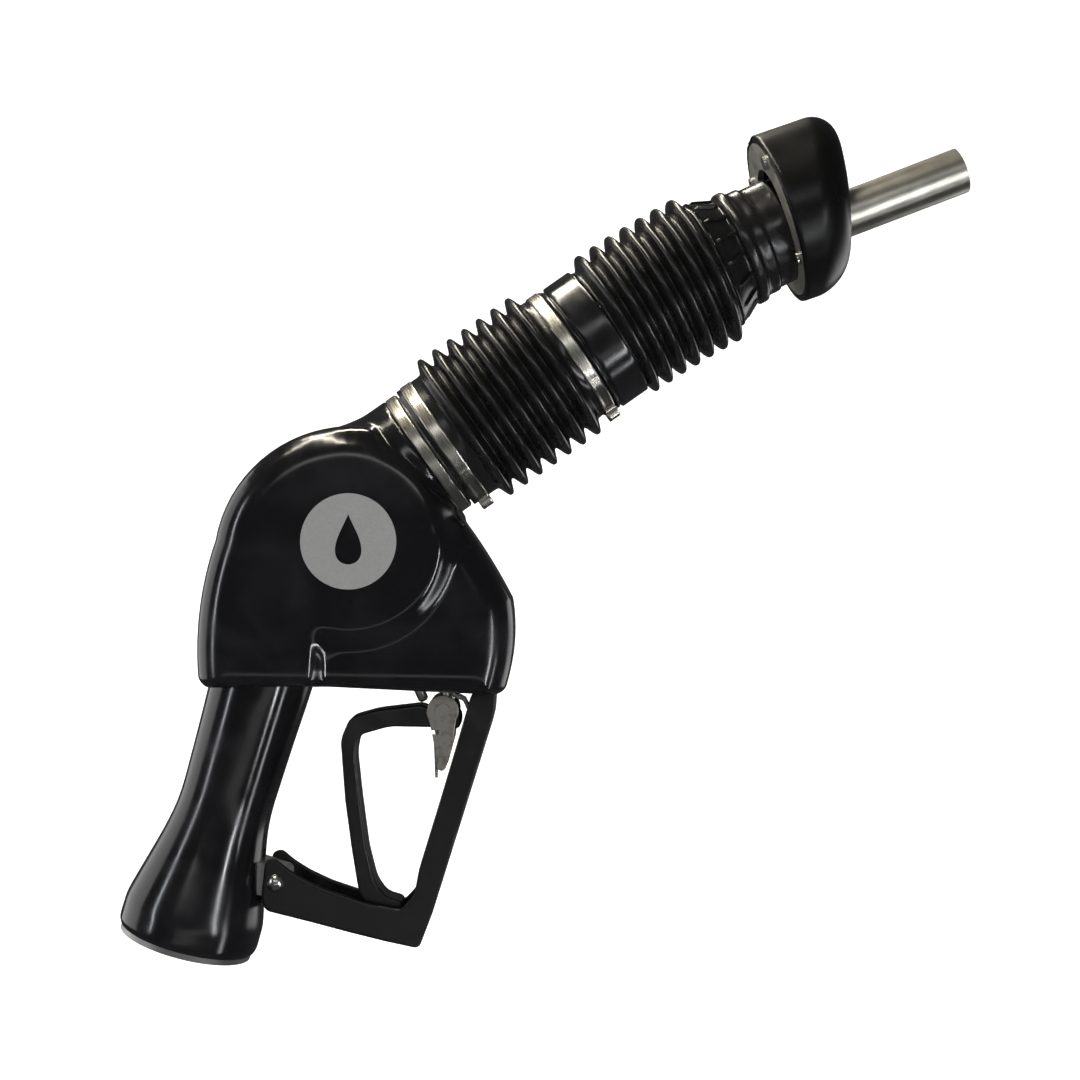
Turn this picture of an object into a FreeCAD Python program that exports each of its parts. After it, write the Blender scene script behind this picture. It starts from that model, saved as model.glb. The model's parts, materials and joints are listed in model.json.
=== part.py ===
# Vapour-recovery petrol nozzle with a two-stage bellows, modelled as the pieces it is assembled from.
# Frame: origin at the centre of the hose inlet's mouth, +X towards the spout, +Y across the nozzle,
# +Z up. The nozzle's plane of symmetry is Y = 0. Millimetres and degrees.
import FreeCAD, Part
import math
import os
import re

import Sketcher
from FreeCAD import Placement, Rotation, Vector

DIMENSIONS = {
    # The hose inlet and the handle, along the handle's axis from the inlet's mouth.
    "handle_rise": (73.7, "handle axis above the horizontal"),
    "inlet_ring_radius": (29.7, "bare metal ring at the mouth"),
    "inlet_ring_length": (2.6, "length of that ring"),
    "thread_radius": (22.7, "minor radius of the 1-7/8 inch 12 UN coaxial hose thread"),
    "thread_depth": (16, "length of the thread"),
    "hose_seal_radius": (21, "flat seal under the end of the hose"),
    "hose_seal_length": (1.3, "its thickness"),
    "skin": (3, "thickness of the vinyl covers"),
    "flare_radius": (31.4, "vinyl grip at its foot"),
    "flare_start": (17, "where the foot starts to narrow"),
    "flare_waist_radius": (24.4, "half way up the flare"),
    "flare_waist_station": (43, "where that is"),
    "grip_radius": (20.9, "vinyl grip where the hand closes"),
    "grip_station": (62, "where the flare ends"),
    "handle_length": (128, "handle tube, which runs up into the body"),
    "vapour_way_radius": (14.9, "bore of the handle, the vapour return"),
    "fuel_tube_radius": (12.6, "fuel tube inside the handle"),
    "fuel_tube_wall": (1.3, "its wall"),
    "fuel_tube_start": (18.5, "where it starts, clear of the hose thread"),
    "strainer_length": (26, "inlet strainer"),
    "grip_top": (112.8, "height where the grip meets the body cover"),
    # The body.
    "body_half": (30, "half width of the body cover"),
    "casting_step": (7, "depth of the stepped rounding of the body's long edges"),
    "boss_x": (77, "round cap, centre"),
    "boss_z": (180, "round cap, centre"),
    "boss_radius": (41, "round cap under the cover"),
    "boss_half": (34.5, "half width over the round caps"),
    "cap_radius": (37.8, "metal cap"),
    "cap_thickness": (3.5, "its flange"),
    "chamber_radius": (31, "main valve chamber"),
    "chamber_floor": (15, "how far the chamber goes past the middle"),
    "cap_bolt_circle": (34.4, "cap screws"),
    "cap_screw_radius": (1.6, "cap screws"),
    "emblem_radius": (20.7, "plain roundel"),
    "emblem_thickness": (0.4, "its thickness"),
    "cap_lip": (4, "lip of the cap inside the chamber"),
    "cap_screw_tip": (18, "inner end of the cap screws, from the middle"),
    "cap_screw_head": (2.8, "radius of their heads"),
    "cap_seal_depth": (1.6, "radial depth of the cap's seal"),
    "recess_half": (11, "half width of the channel in the underside"),
    "recess_back": (66, "its end towards the handle"),
    "recess_front": (127.5, "its end towards the chest"),
    "recess_top": (117.4, "top of that channel"),
    "passage_radius": (4.5, "drilled fuel passage beside the chamber"),
    # The neck, along the bellows' axis from the middle of the bare collar.
    "neck_x": (109.5, "bare collar, centre"),
    "neck_z": (219.8, "bare collar, centre"),
    "neck_rise": (34.9, "bellows and rear spout axis above the horizontal"),
    "neck_cover_radius": (30.2, "vinyl round the neck"),
    "spigot_radius": (27.8, "neck spigot"),
    "spigot_end": (14, "where it ends"),
    "neck_root": (34, "how far back the neck's round part runs into the body"),
    "neck_bore_radius": (24.4, "vapour chamber in the neck"),
    "neck_floor": (-13, "floor of that chamber"),
    "adapter_foot": (-15, "rear end of the spout adapter"),
    "adapter_foot_radius": (13, "its spigot in the casting"),
    "adapter_radius": (14, "spout adapter"),
    "check_seat_radius": (5, "way through the adapter's rear end"),
    "sleeve_radius": (15.6, "vapour valve sleeve"),
    "sleeve_flange_radius": (21.5, "its flange and seal"),
    "vapour_way_inner": (17, "bore of the vapour seat"),
    "collar_radius": (30.25, "bare collar"),
    "collar_half": (2.8, "half its length"),
    "cuff_radius": (30.6, "bellows cuff"),
    "clamp_start": (5.7, "rear clamp"),
    "clamp_length": (5.8, "rear clamp"),
    "clamp_thickness": (0.6, "both clamps"),
    "first_ridge": (20.2, "first ridge of the rear bellows"),
    "ridge_pitch": (7.95, "rear bellows pitch"),
    "ridge_radius": (36.8, "rear bellows ridges"),
    "valley_radius": (31, "rear bellows valleys"),
    "bellows_wall": (1.4, "rubber thickness"),
    "ridge_count": (7, "ridges on each bellows"),
    "mid_clamp_start": (74.7, "middle clamp"),
    "mid_cuff_end": (81.6, "end of the rear bellows"),
    "ring_end": (97.6, "end of the connector ring"),
    "ring_radius": (31.8, "connector ring"),
    # The front bellows, from its first ridge.
    "front_x": (194.2, "first front ridge, centre"),
    "front_z": (277.4, "first front ridge, centre"),
    "front_rise": (31.6, "front bellows axis above the horizontal"),
    "front_pitch": (7.6, "front bellows pitch"),
    "front_ridge_radius": (35.2, "front bellows ridges"),
    "front_valley_radius": (30, "front bellows valleys"),
    # The nose boot, from its bead.
    "bead_x": (249.5, "nose boot bead, centre"),
    "bead_z": (311.9, "nose boot bead, centre"),
    "bead_rise": (25.2, "nose boot axis above the horizontal"),
    "bead_radius": (25.9, "bead"),
    # The face, from its back rim.
    "face_x": (265.8, "face back rim, centre"),
    "face_z": (324.8, "face back rim, centre"),
    "face_rise": (19.1, "face axis above the horizontal"),
    "face_radius": (38.7, "face"),
    "face_depth": (33.7, "face depth on its axis"),
    "face_slant": (14.6, "how far the front leans from square"),
    "face_round": (11, "rounding of the front edge"),
    "plate_radius": (35.4, "back plate"),
    "plate_thickness": (3, "back plate"),
    "face_hole_radius": (17, "vapour hole round the spout"),
    "face_screw_circle": (31.2, "screws that hold the back plate"),
    "face_screw_radius": (1.5, "their shanks"),
    "face_screw_head": (3.1, "radius of their heads"),
    # The spout.
    "spout_radius": (10.32, "13/16 inch spout tube"),
    "spout_wall": (1, "its wall"),
    "spout_start": (-8, "rear end, from the collar's middle"),
    "spout_bend_station": (138.2, "where the two straight axes cross"),
    "spout_bend": (14, "angle of the bend"),
    "spout_bend_radius": (110, "radius of the bend"),
    "spout_front": (135, "from that crossing to the tip"),
    "sense_radius": (2, "sensing tube"),
    "sense_offset": (6, "sensing tube, below the spout's axis"),
    "sense_port": (17, "sensing port, back from the tip"),
    "tip_ring_start": (12, "ring in the tip, from here back from the tip"),
    "tip_ring_end": (4, "to here"),
    # The lever, the latch and the guard.
    "lever_x": (119.5, "lever pin"),
    "lever_z": (100.5, "lever pin"),
    "lever_half": (7.9, "half width of the lever"),
    "lever_pin_radius": (2.2, "lever pin"),
    "running": (0.05, "radial clearance of a running fit"),
    "latch_x": (116.3, "latch pivot"),
    "latch_z": (104.5, "latch pivot"),
    "latch_pin_radius": (2, "latch pivot studs"),
    "latch_head_radius": (7.1, "latch head"),
    "latch_inner": (8.2, "latch cheeks, inner face"),
    "latch_sheet": (1.2, "latch cheeks, thickness"),
    "guard_half": (12, "half width of the guard"),
    "guard_inner": (9.8, "half width of the channel in it"),
    "rivet_x": (42, "guard rivet"),
    "rivet_z": (28.5, "guard rivet"),
    "rivet_radius": (2.5, "guard rivet"),
    # The main valve, along its stem from the stem's foot.
    "stem_x": (109, "foot of the stem"),
    "stem_z": (104.75, "foot of the stem"),
    "stem_rise": (115, "stem axis above the horizontal"),
    "stem_foot": (3.7, "lower end of the stem, just clear of the lever"),
    "stem_radius": (2.4, "stem"),
    "seat_station": (47.5, "face of the main seat"),
    "poppet_radius": (10, "main poppet"),
    "poppet_back": (6, "its thickness with the seal, from the seat"),
    "seal_radius": (9.6, "main seal"),
    "seal_thickness": (2.4, "its thickness"),
    "seat_radius": (12, "main seat ring"),
    "seat_bore": (7.5, "its bore"),
    "seat_foot": (41, "its lower end"),
    "gland_radius": (5, "stem gland"),
    "gland_start": (11.4, "its lower end"),
    "gland_end": (24, "its upper end"),
    "cage_radius": (13.1, "valve cage"),
    "cage_bore": (11.2, "its bore"),
    "cage_length": (36, "its length from the seat"),
    "cage_top": (2, "thickness of its end"),
    # The trip plunger, upright over the lever pin.
    "plunger_radius": (3.5, "plunger"),
    "plunger_top": (134, "height of its top"),
    "roller_radius": (1.1, "locking rollers in the plunger"),
    "guide_radius": (6.5, "plunger guide"),
    "guide_top": (129.5, "height of its top"),
    "pull_pin_radius": (1, "pin that the diaphragm pulls"),
    "diaphragm_z": (144, "height of the diaphragm"),
    "diaphragm_radius": (14.3, "diaphragm"),
    "diaphragm_thickness": (0.8, "its thickness"),
    "diaphragm_cover_top": (161.9, "height of the diaphragm chamber's cover"),
    "diaphragm_cover_wall": (2, "its wall"),
}

doc = FreeCAD.newDocument("fuel_nozzle")
sheet = doc.addObject("Spreadsheet::Sheet", "dims")
for row, (alias, (size, note)) in enumerate(DIMENSIONS.items(), start=1):
    sheet.set(f"A{row}", note)
    sheet.set(f"B{row}", str(size))
    sheet.setAlias(f"B{row}", alias)
doc.recompute()

NODES = []


def bound(text):
    """Return an expression with each dimension's name made a reference to the sheet."""
    def name(match):
        word = match.group()
        return f"dims.{word}" if word in DIMENSIONS else word
    return re.sub(r"[a-z_]+", name, str(text))


def size(text):
    """Return an expression's value."""
    result = sheet.evalExpression(bound(text))
    return float(getattr(result, "Value", result))


def bind(thing, **sizes):
    """Bind an object's properties to expressions over the sheet."""
    for prop, text in sizes.items():
        thing.setExpression(prop, bound(text))
    return thing


def node(thing, label):
    """Name a finished piece and list it for export."""
    thing.Label = label
    NODES.append(thing)
    return thing


# Frames: a local Z along the named axis, local Y across the nozzle.

def leaning(x, z, rise):
    """Return a frame at (x, z) in the middle plane whose Z rises at the given angle."""
    turn = Rotation(Vector(0, 1, 0), 90 - size(rise))
    return Placement(Vector(size(x), 0, size(z)), turn)


def across(x, z):
    """Return a frame at (x, z) whose Z runs across the nozzle, along +Y."""
    return Placement(Vector(size(x), 0, size(z)), Rotation(Vector(1, 0, 0), -90))


def shifted(frame, x=0, y=0, z=0):
    """Return a frame moved along its own axes."""
    return frame.multiply(Placement(Vector(x, y, z), Rotation()))


INLET = leaning("0", "0", "handle_rise")
NECK = leaning("neck_x", "neck_z", "neck_rise")
FRONT = leaning("front_x", "front_z", "front_rise")
BEAD = leaning("bead_x", "bead_z", "bead_rise")
FACE = leaning("face_x", "face_z", "face_rise")
STEM = leaning("stem_x", "stem_z", "stem_rise")
BOSS = across("boss_x", "boss_z")
LEVER_PIN = across("lever_x", "lever_z")
LATCH_PIN = across("latch_x", "latch_z")
RIVET = across("rivet_x", "rivet_z")
PLUNGER = leaning("lever_x", "0", "90")
SPOUT_REAR = shifted(NECK, z=size("spout_start"))
SPOUT_CROSSING = shifted(NECK, z=size("spout_bend_station"))
SPOUT_BEND = Placement(Vector(), Rotation(Vector(0, 1, 0), size("spout_bend")))
SPOUT_FRONT = SPOUT_CROSSING.multiply(SPOUT_BEND)


# Builders.

def rod(frame, radius, start, end):
    """Make a cylinder round a frame's Z, between two stations."""
    made = doc.addObject("Part::Cylinder", "rod")
    bind(made, Radius=radius, Height=f"({end}) - ({start})")
    made.Placement = shifted(frame, z=size(start))
    return made


def ball(frame, radius, station):
    """Make a ball on a frame's Z."""
    made = doc.addObject("Part::Sphere", "ball")
    bind(made, Radius=radius)
    made.Placement = shifted(frame, z=size(station))
    return made


def block(low, high):
    """Make a box between two corners, each three expressions."""
    made = doc.addObject("Part::Box", "block")
    spans = [f"({b}) - ({a})" for a, b in zip(low, high)]
    bind(made, Length=spans[0], Width=spans[1], Height=spans[2])
    made.Placement = Placement(Vector(*[size(a) for a in low]), Rotation())
    return made


def joined(*pieces):
    """Fuse pieces."""
    if len(pieces) == 1:
        return pieces[0]
    made = doc.addObject("Part::MultiFuse", "joined")
    made.Shapes = list(pieces)
    return made


def cut(base, *tools):
    """Take tools away from a base."""
    made = doc.addObject("Part::Cut", "cut")
    made.Base = base
    made.Tool = joined(*tools)
    return made


def tube(frame, outer, inner, start, end):
    """Make a tube round a frame's Z."""
    return turned(frame, [(inner, start), (outer, start), (outer, end), (inner, end)])


def plane_sketch(body, role):
    """Start a sketch on one of a body's own origin planes."""
    sketch = body.newObject("Sketcher::SketchObject", "outline")
    plane = [item for item in body.Origin.OriginFeatures if item.Role == role][0]
    sketch.AttachmentSupport = (plane, "")
    sketch.MapMode = "FlatFace"
    return sketch


def draw_outline(sketch, corners):
    """Draw a closed outline of straight lines, each corner held at two bound distances."""
    points = [Vector(size(x), size(y), 0) for x, y in corners]
    count = len(points)
    for index in range(count):
        sketch.addGeometry(Part.LineSegment(points[index], points[(index + 1) % count]), False)
    for index in range(count):
        sketch.addConstraint(Sketcher.Constraint("Coincident", index, 2, (index + 1) % count, 1))
    for index, (x, y) in enumerate(corners):
        for kind, text, axis in (("DistanceX", x, -2), ("DistanceY", y, -1)):
            if size(text) == 0:
                sketch.addConstraint(Sketcher.Constraint("PointOnObject", index, 1, axis))
                continue
            hold = Sketcher.Constraint(kind, -1, 1, index, 1, size(text))
            number = sketch.addConstraint(hold)
            sketch.setExpression(f"Constraints[{number}]", bound(text))


def turned(frame, corners):
    """Turn an outline of (radius, station) corners round a frame's Z."""
    body = doc.addObject("PartDesign::Body", "turned")
    sketch = plane_sketch(body, "XZ_Plane")
    draw_outline(sketch, corners)
    revolution = body.newObject("PartDesign::Revolution", "revolution")
    revolution.Profile = sketch
    revolution.ReferenceAxis = (sketch, ["V_Axis"])
    revolution.Angle = 360
    body.Placement = frame
    return body


def plate(corners, half, round_radius=None):
    """Make a plate from an outline of (x, z) corners, half its thickness each side of Y = 0."""
    body = doc.addObject("PartDesign::Body", "plate")
    sketch = plane_sketch(body, "XZ_Plane")
    draw_outline(sketch, corners)
    pad = body.newObject("PartDesign::Pad", "pad")
    pad.Profile = sketch
    pad.Midplane = True
    bind(pad, Length=f"2 * ({half})")
    if round_radius:
        doc.recompute()
        upright = []
        for index, edge in enumerate(pad.Shape.Edges, start=1):
            if edge.BoundBox.YLength > 0.9 * 2 * size(half):
                upright.append(f"Edge{index}")
        fillet = body.newObject("PartDesign::Fillet", "fillet")
        fillet.Base = (pad, upright)
        bind(fillet, Radius=round_radius)
    return body


def spring(frame, mean_radius, wire_radius, start, end, turns):
    """Make a compression spring round a frame's Z."""
    body = doc.addObject("PartDesign::Body", "spring")
    sketch = plane_sketch(body, "XZ_Plane")
    middle = Vector(size(mean_radius), size(wire_radius), 0)
    sketch.addGeometry(Part.Circle(middle, Vector(0, 0, 1), size(wire_radius)), False)
    for kind, text in (("DistanceX", mean_radius), ("DistanceY", wire_radius)):
        number = sketch.addConstraint(Sketcher.Constraint(kind, -1, 1, 0, 3, size(text)))
        sketch.setExpression(f"Constraints[{number}]", bound(text))
    number = sketch.addConstraint(Sketcher.Constraint("Radius", 0, size(wire_radius)))
    sketch.setExpression(f"Constraints[{number}]", bound(wire_radius))
    helix = body.newObject("PartDesign::AdditiveHelix", "coil")
    helix.Profile = sketch
    helix.ReferenceAxis = (sketch, ["V_Axis"])
    helix.Mode = "height-turns-angle"
    bind(helix, Height=f"({end}) - ({start}) - 2 * ({wire_radius})", Turns=turns)
    body.Placement = shifted(frame, z=size(start))
    return body


def ring_of(count, radius, frame, make, first=0):
    """Make copies of a piece spaced evenly on a circle round a frame's Z."""
    pieces = []
    for index in range(count):
        angle = math.radians(first + 360 * index / count)
        place = shifted(frame, x=size(radius) * math.cos(angle), y=size(radius) * math.sin(angle))
        pieces.append(make(place))
    return joined(*pieces)


def link(start, end, radius):
    """Make a round passage between two points, with a ball at its start."""
    path = Vector(*end) - Vector(*start)
    frame = Placement(Vector(*start), Rotation(Vector(0, 0, 1), path))
    return joined(rod(frame, radius, "0", str(path.Length)), ball(frame, radius, "0"))


def bent_tube(outer, wall, offset, rear_cut, front_cut):
    """Make a tube along the spout's bent axis, or on a line parallel to it on the bend's inner side."""
    bend = math.radians(size("spout_bend"))
    tangent = size("spout_bend_radius") * math.tan(bend / 2)
    arc_radius = size("spout_bend_radius") - size(offset)
    rear = size("spout_bend_station") - size("spout_start") - tangent
    front = size("spout_front") - tangent - size(front_cut)
    start = Vector(size(offset), size(rear_cut), 0)
    bend_start = Vector(size(offset), rear, 0)
    centre = Vector(size("spout_bend_radius"), rear, 0)
    bend_end = centre + Vector(-math.cos(bend), math.sin(bend), 0) * arc_radius
    bend_middle = centre + Vector(-math.cos(bend / 2), math.sin(bend / 2), 0) * arc_radius
    end = bend_end + Vector(math.sin(bend), math.cos(bend), 0) * front
    body = doc.addObject("PartDesign::Body", "bent_tube")
    path = plane_sketch(body, "XZ_Plane")
    path.addGeometry(Part.LineSegment(start, bend_start), False)
    path.addGeometry(Part.Arc(bend_start, bend_middle, bend_end), False)
    path.addGeometry(Part.LineSegment(bend_end, end), False)
    section = plane_sketch(body, "XY_Plane")
    section.AttachmentOffset = Placement(Vector(size(offset), 0, size(rear_cut)), Rotation())
    for index, radius in enumerate((outer, f"({outer}) - ({wall})")):
        section.addGeometry(Part.Circle(Vector(), Vector(0, 0, 1), size(radius)), False)
        section.addConstraint(Sketcher.Constraint("Coincident", index, 3, -1, 1))
        number = section.addConstraint(Sketcher.Constraint("Radius", index, size(radius)))
        section.setExpression(f"Constraints[{number}]", bound(radius))
    pipe = body.newObject("PartDesign::AdditivePipe", "pipe")
    pipe.Profile = section
    pipe.Spine = path
    body.Placement = SPOUT_REAR
    return body


def bellows(frame, first, pitch, ridge, valley, cuff_start, cuff_end, cuff_radius):
    """Make a bellows: a cuff at each end and rounded V-shaped ridges between, all of one thickness."""
    outer = [(cuff_radius, cuff_start), (cuff_radius, f"({first}) - ({pitch}) * 0.55")]
    for index in range(int(size("ridge_count"))):
        middle = f"({first}) + ({pitch}) * {index}"
        outer.append((valley, f"{middle} - ({pitch}) * 0.42"))
        outer.append((ridge, f"{middle} - ({pitch}) * 0.12"))
        outer.append((ridge, f"{middle} + ({pitch}) * 0.12"))
        outer.append((valley, f"{middle} + ({pitch}) * 0.42"))
    outer.append((cuff_radius, f"({first}) + ({pitch}) * (ridge_count - 0.45)"))
    outer.append((cuff_radius, cuff_end))
    inner = []
    for radius, station in reversed(outer):
        inner.append((f"({radius}) - bellows_wall * {1.0 if radius != ridge else 1.6}", station))
    return turned(frame, outer + inner)


# Body outline in the middle plane, as it runs under the cover or, with the skin added, over it.

def body_outline():
    """Draw the body's side outline, its round stretches as arcs."""
    sketch = doc.addObject("Sketcher::SketchObject", "body_outline")
    sketch.Placement = Placement(Vector(), Rotation(Vector(1, 0, 0), 90))
    heel = Vector(10.9, 116, 0)
    back = Vector(17.3, 180.6, 0)
    crown = Vector(64.7, 229.4, 0)
    neck_foot = Vector(123.4, 192.2, 0)
    chest = Vector(147.3, 154.2, 0)
    toe = Vector(142.2, 112.4, 0)
    shapes = [
        Part.Arc(heel, Vector(9.6, 142.9, 0), back),
        Part.Arc(back, Vector(33.9, 212.8, 0), crown),
        Part.Arc(crown, Vector(99.5, 224.5, 0), neck_foot),
        Part.Arc(neck_foot, Vector(137.5, 171.7, 0), chest),
        Part.Arc(chest, Vector(147.9, 133.1, 0), toe),
        Part.LineSegment(toe, heel),
    ]
    for shape in shapes:
        sketch.addGeometry(shape, False)
    return sketch


def slab(outline, half):
    """Extrude an outline both ways from Y = 0."""
    made = doc.addObject("Part::Extrusion", "slab")
    made.Base = outline
    made.DirMode = "Custom"
    made.Dir = Vector(0, 1, 0)
    made.Symmetric = True
    made.Solid = True
    bind(made, LengthFwd=f"2 * ({half})")
    return made


OUTLINE = body_outline()


def inset_outline(depth):
    """Return the body's outline, moved in by a depth."""
    made = doc.addObject("Part::Offset2D", "inset_outline")
    made.Source = OUTLINE
    bind(made, Value=f"-({depth})")
    return made


def flared(inset):
    """Return the handle's outer profile, from the inlet ring up, less an inset."""
    return [
        (f"flare_radius - ({inset})", "inlet_ring_length"),
        (f"flare_radius - ({inset})", "flare_start"),
        (f"flare_waist_radius - ({inset})", "flare_waist_station"),
        (f"grip_radius - ({inset})", "grip_station"),
        (f"grip_radius - ({inset})", "handle_length"),
    ]


# Casting, covers and cap.

def casting_envelope():
    """Everything that the covers fit over, as one solid."""
    handle = turned(INLET, [("0", "inlet_ring_length")] + flared("skin") + [("0", "handle_length")])
    neck = rod(NECK, "neck_cover_radius - skin", "-(neck_root - 2)", "-collar_half")
    boss = rod(BOSS, "cap_radius", "-(boss_half - skin)", "boss_half - skin")
    wide = slab(inset_outline("skin + casting_step"), "body_half - skin")
    deep = slab(inset_outline("skin"), "body_half - skin - casting_step")
    return joined(wide, deep, handle, neck, boss)


ENVELOPE = casting_envelope()
UNDERSIDE_CHANNEL = block(("recess_back", "-recess_half", "lever_z"),
                          ("recess_front", "recess_half", "recess_top"))
FUEL_PASSAGE = [(93, 6, 138), (99, 21, 150), (99, 21, 203), (98, 4, 211)]


def body_casting():
    """The main casting: handle tube, valve body and neck spigot in one piece, bored out for its parts."""
    inlet_ring = rod(INLET, "inlet_ring_radius", "0", "inlet_ring_length")
    spigot = rod(NECK, "spigot_radius", "-collar_half", "spigot_end")
    lug = plate([("26", "24.8"), ("47.5", "19.2"), ("47.5", "33"), ("26", "40")], "guard_inner - 0.3", "3")
    casting = joined(ENVELOPE, inlet_ring, spigot, lug)
    ways = [
        rod(INLET, "thread_radius", "-1", "thread_depth"),
        rod(INLET, "hose_seal_radius + 0.1", "thread_depth - 1", "thread_depth + hose_seal_length + 0.2"),
        rod(INLET, "vapour_way_radius", "thread_depth - 1", "handle_length + 8"),
        rod(BOSS, "chamber_radius", "-boss_half", "chamber_floor"),
        rod(BOSS, "cap_radius + 0.01", "-boss_half", "-(body_half - skin)"),
        rod(NECK, "neck_bore_radius", "neck_floor", "spigot_end + 1"),
        rod(NECK, "adapter_foot_radius", "adapter_foot", "neck_floor + 1"),
        rod(STEM, "stem_radius + 0.1", "gland_start - 2", "seat_station"),
        rod(STEM, "gland_radius", "gland_start - 2", "gland_end"),
        rod(STEM, "seat_bore", "gland_end + 6", "seat_station"),
        rod(STEM, "seat_radius", "seat_foot", "seat_station + 0.5"),
        rod(STEM, "cage_radius + 0.1", "seat_station", "seat_station + 14.5"),
        rod(PLUNGER, "guide_radius", "recess_top - 3", "guide_top + 0.5"),
        rod(PLUNGER, "plunger_radius + 0.7", "guide_top - 0.5", "diaphragm_z"),
        rod(PLUNGER, "diaphragm_radius + 0.2", "diaphragm_z - 4", "diaphragm_cover_top + 0.1"),
        rod(RIVET, "rivet_radius", "-guard_half - 2", "guard_half + 2"),
        UNDERSIDE_CHANNEL,
    ]
    for start, end in zip(FUEL_PASSAGE, FUEL_PASSAGE[1:]):
        ways.append(link(start, end, "passage_radius"))
    def screw_hole(place):
        return rod(place, "cap_screw_radius", "-boss_half", "1 - cap_screw_tip")
    ways.append(ring_of(6, "cap_bolt_circle", BOSS, screw_hole))
    return node(cut(casting, *ways), "body_casting")


def body_cover():
    """The vinyl boot over the body, its long edges stepped in towards the outline."""
    outer = [
        slab(OUTLINE, "body_half - casting_step"),
        slab(inset_outline("casting_step * 0.4"), "body_half - casting_step * 0.4"),
        slab(inset_outline("casting_step"), "body_half"),
    ]
    boss = rod(BOSS, "boss_radius", "-boss_half", "boss_half")
    neck = rod(NECK, "neck_cover_radius", "-neck_root", "-collar_half")
    grip_room = rod(INLET, "grip_radius", "0", "118")
    beyond_neck = rod(NECK, "60", "-collar_half", "40")
    cover = cut(joined(*outer, boss, neck), ENVELOPE, UNDERSIDE_CHANNEL, grip_room, beyond_neck)
    return node(cover, "body_cover")


def hand_grip_cover():
    """The vinyl grip over the handle, cut off flat where the body cover starts."""
    outer = flared("0")
    inner = list(reversed(flared("skin")))
    above = block(("-60", "-60", "grip_top"), ("120", "60", "grip_top + 60"))
    lug_room = block(("20", "-guard_inner + 0.2", "5"), ("60", "guard_inner - 0.2", "42"))
    return node(cut(turned(INLET, outer + inner), above, lug_room), "hand_grip_cover")


def body_cap():
    """The round cap over the valve chamber, its seal and its six screws."""
    face = "-(boss_half - skin)"
    flange = f"{face} + cap_thickness"
    cap = turned(BOSS, [("0", face), ("cap_radius", face), ("cap_radius", flange),
                        ("chamber_radius - 0.1", flange), ("chamber_radius - 0.1", f"{flange} + cap_lip"),
                        ("0", f"{flange} + cap_lip")])
    def screw_hole(place):
        return rod(place, "cap_screw_radius", "-boss_half", "0")
    def head_hole(place):
        return rod(place, "cap_screw_head + 0.1", "-boss_half", f"{face} + 1.9")
    holes = ring_of(6, "cap_bolt_circle", BOSS, screw_hole)
    seats = ring_of(6, "cap_bolt_circle", BOSS, head_hole)
    seal_inner = "chamber_radius - cap_seal_depth"
    groove = tube(BOSS, "chamber_radius + 1", seal_inner, f"{flange} + 1.2", f"{flange} + 3")
    node(cut(cap, holes, seats, groove), "body_cap")
    seal = tube(BOSS, "chamber_radius - 0.05", seal_inner, f"{flange} + 1.25", f"{flange} + 2.95")
    node(seal, "body_cap_seal")
    def screw(place):
        shank = rod(place, "cap_screw_radius", f"{face} + 0.2", "-cap_screw_tip")
        head = rod(place, "cap_screw_head", f"{face} + 0.1", f"{face} + 1.9")
        return joined(shank, head)
    node(ring_of(6, "cap_bolt_circle", BOSS, screw), "body_cap_screws")


def emblem():
    """The plain roundel on the cap's side of the cover."""
    disc = rod(BOSS, "emblem_radius", "-boss_half - emblem_thickness", "-boss_half")
    return node(disc, "emblem_disc")


# Fuel way in the handle.

def inlet_parts():
    """The fuel tube up the handle, its spider and strainer, and the hose's flat seal."""
    end = "handle_length - 6"
    node(tube(INLET, "fuel_tube_radius", "fuel_tube_radius - fuel_tube_wall", "fuel_tube_start", end),
         "fuel_tube")
    rim = "fuel_tube_radius - fuel_tube_wall"
    foot = "fuel_tube_start + 2"
    tip = f"{foot} + strainer_length"
    basket = turned(INLET, [(f"{rim} - 1.2", foot), (rim, foot), (rim, f"{foot} + 2"),
                            ("5.5", tip), ("0", tip), ("0", f"{tip} - 0.8"), ("4.8", f"{tip} - 0.8"),
                            (f"{rim} - 1.2", f"{foot} + 2")])
    node(basket, "inlet_strainer")
    node(tube(INLET, "hose_seal_radius", "hose_seal_radius - 3", "thread_depth + 0.2",
              "thread_depth + hose_seal_length + 0.2"), "hose_seal")
    node(tube(INLET, "vapour_way_radius", "fuel_tube_radius", "fuel_tube_start + 1", "fuel_tube_start + 3"),
         "fuel_tube_spider")


# Main valve.

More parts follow.
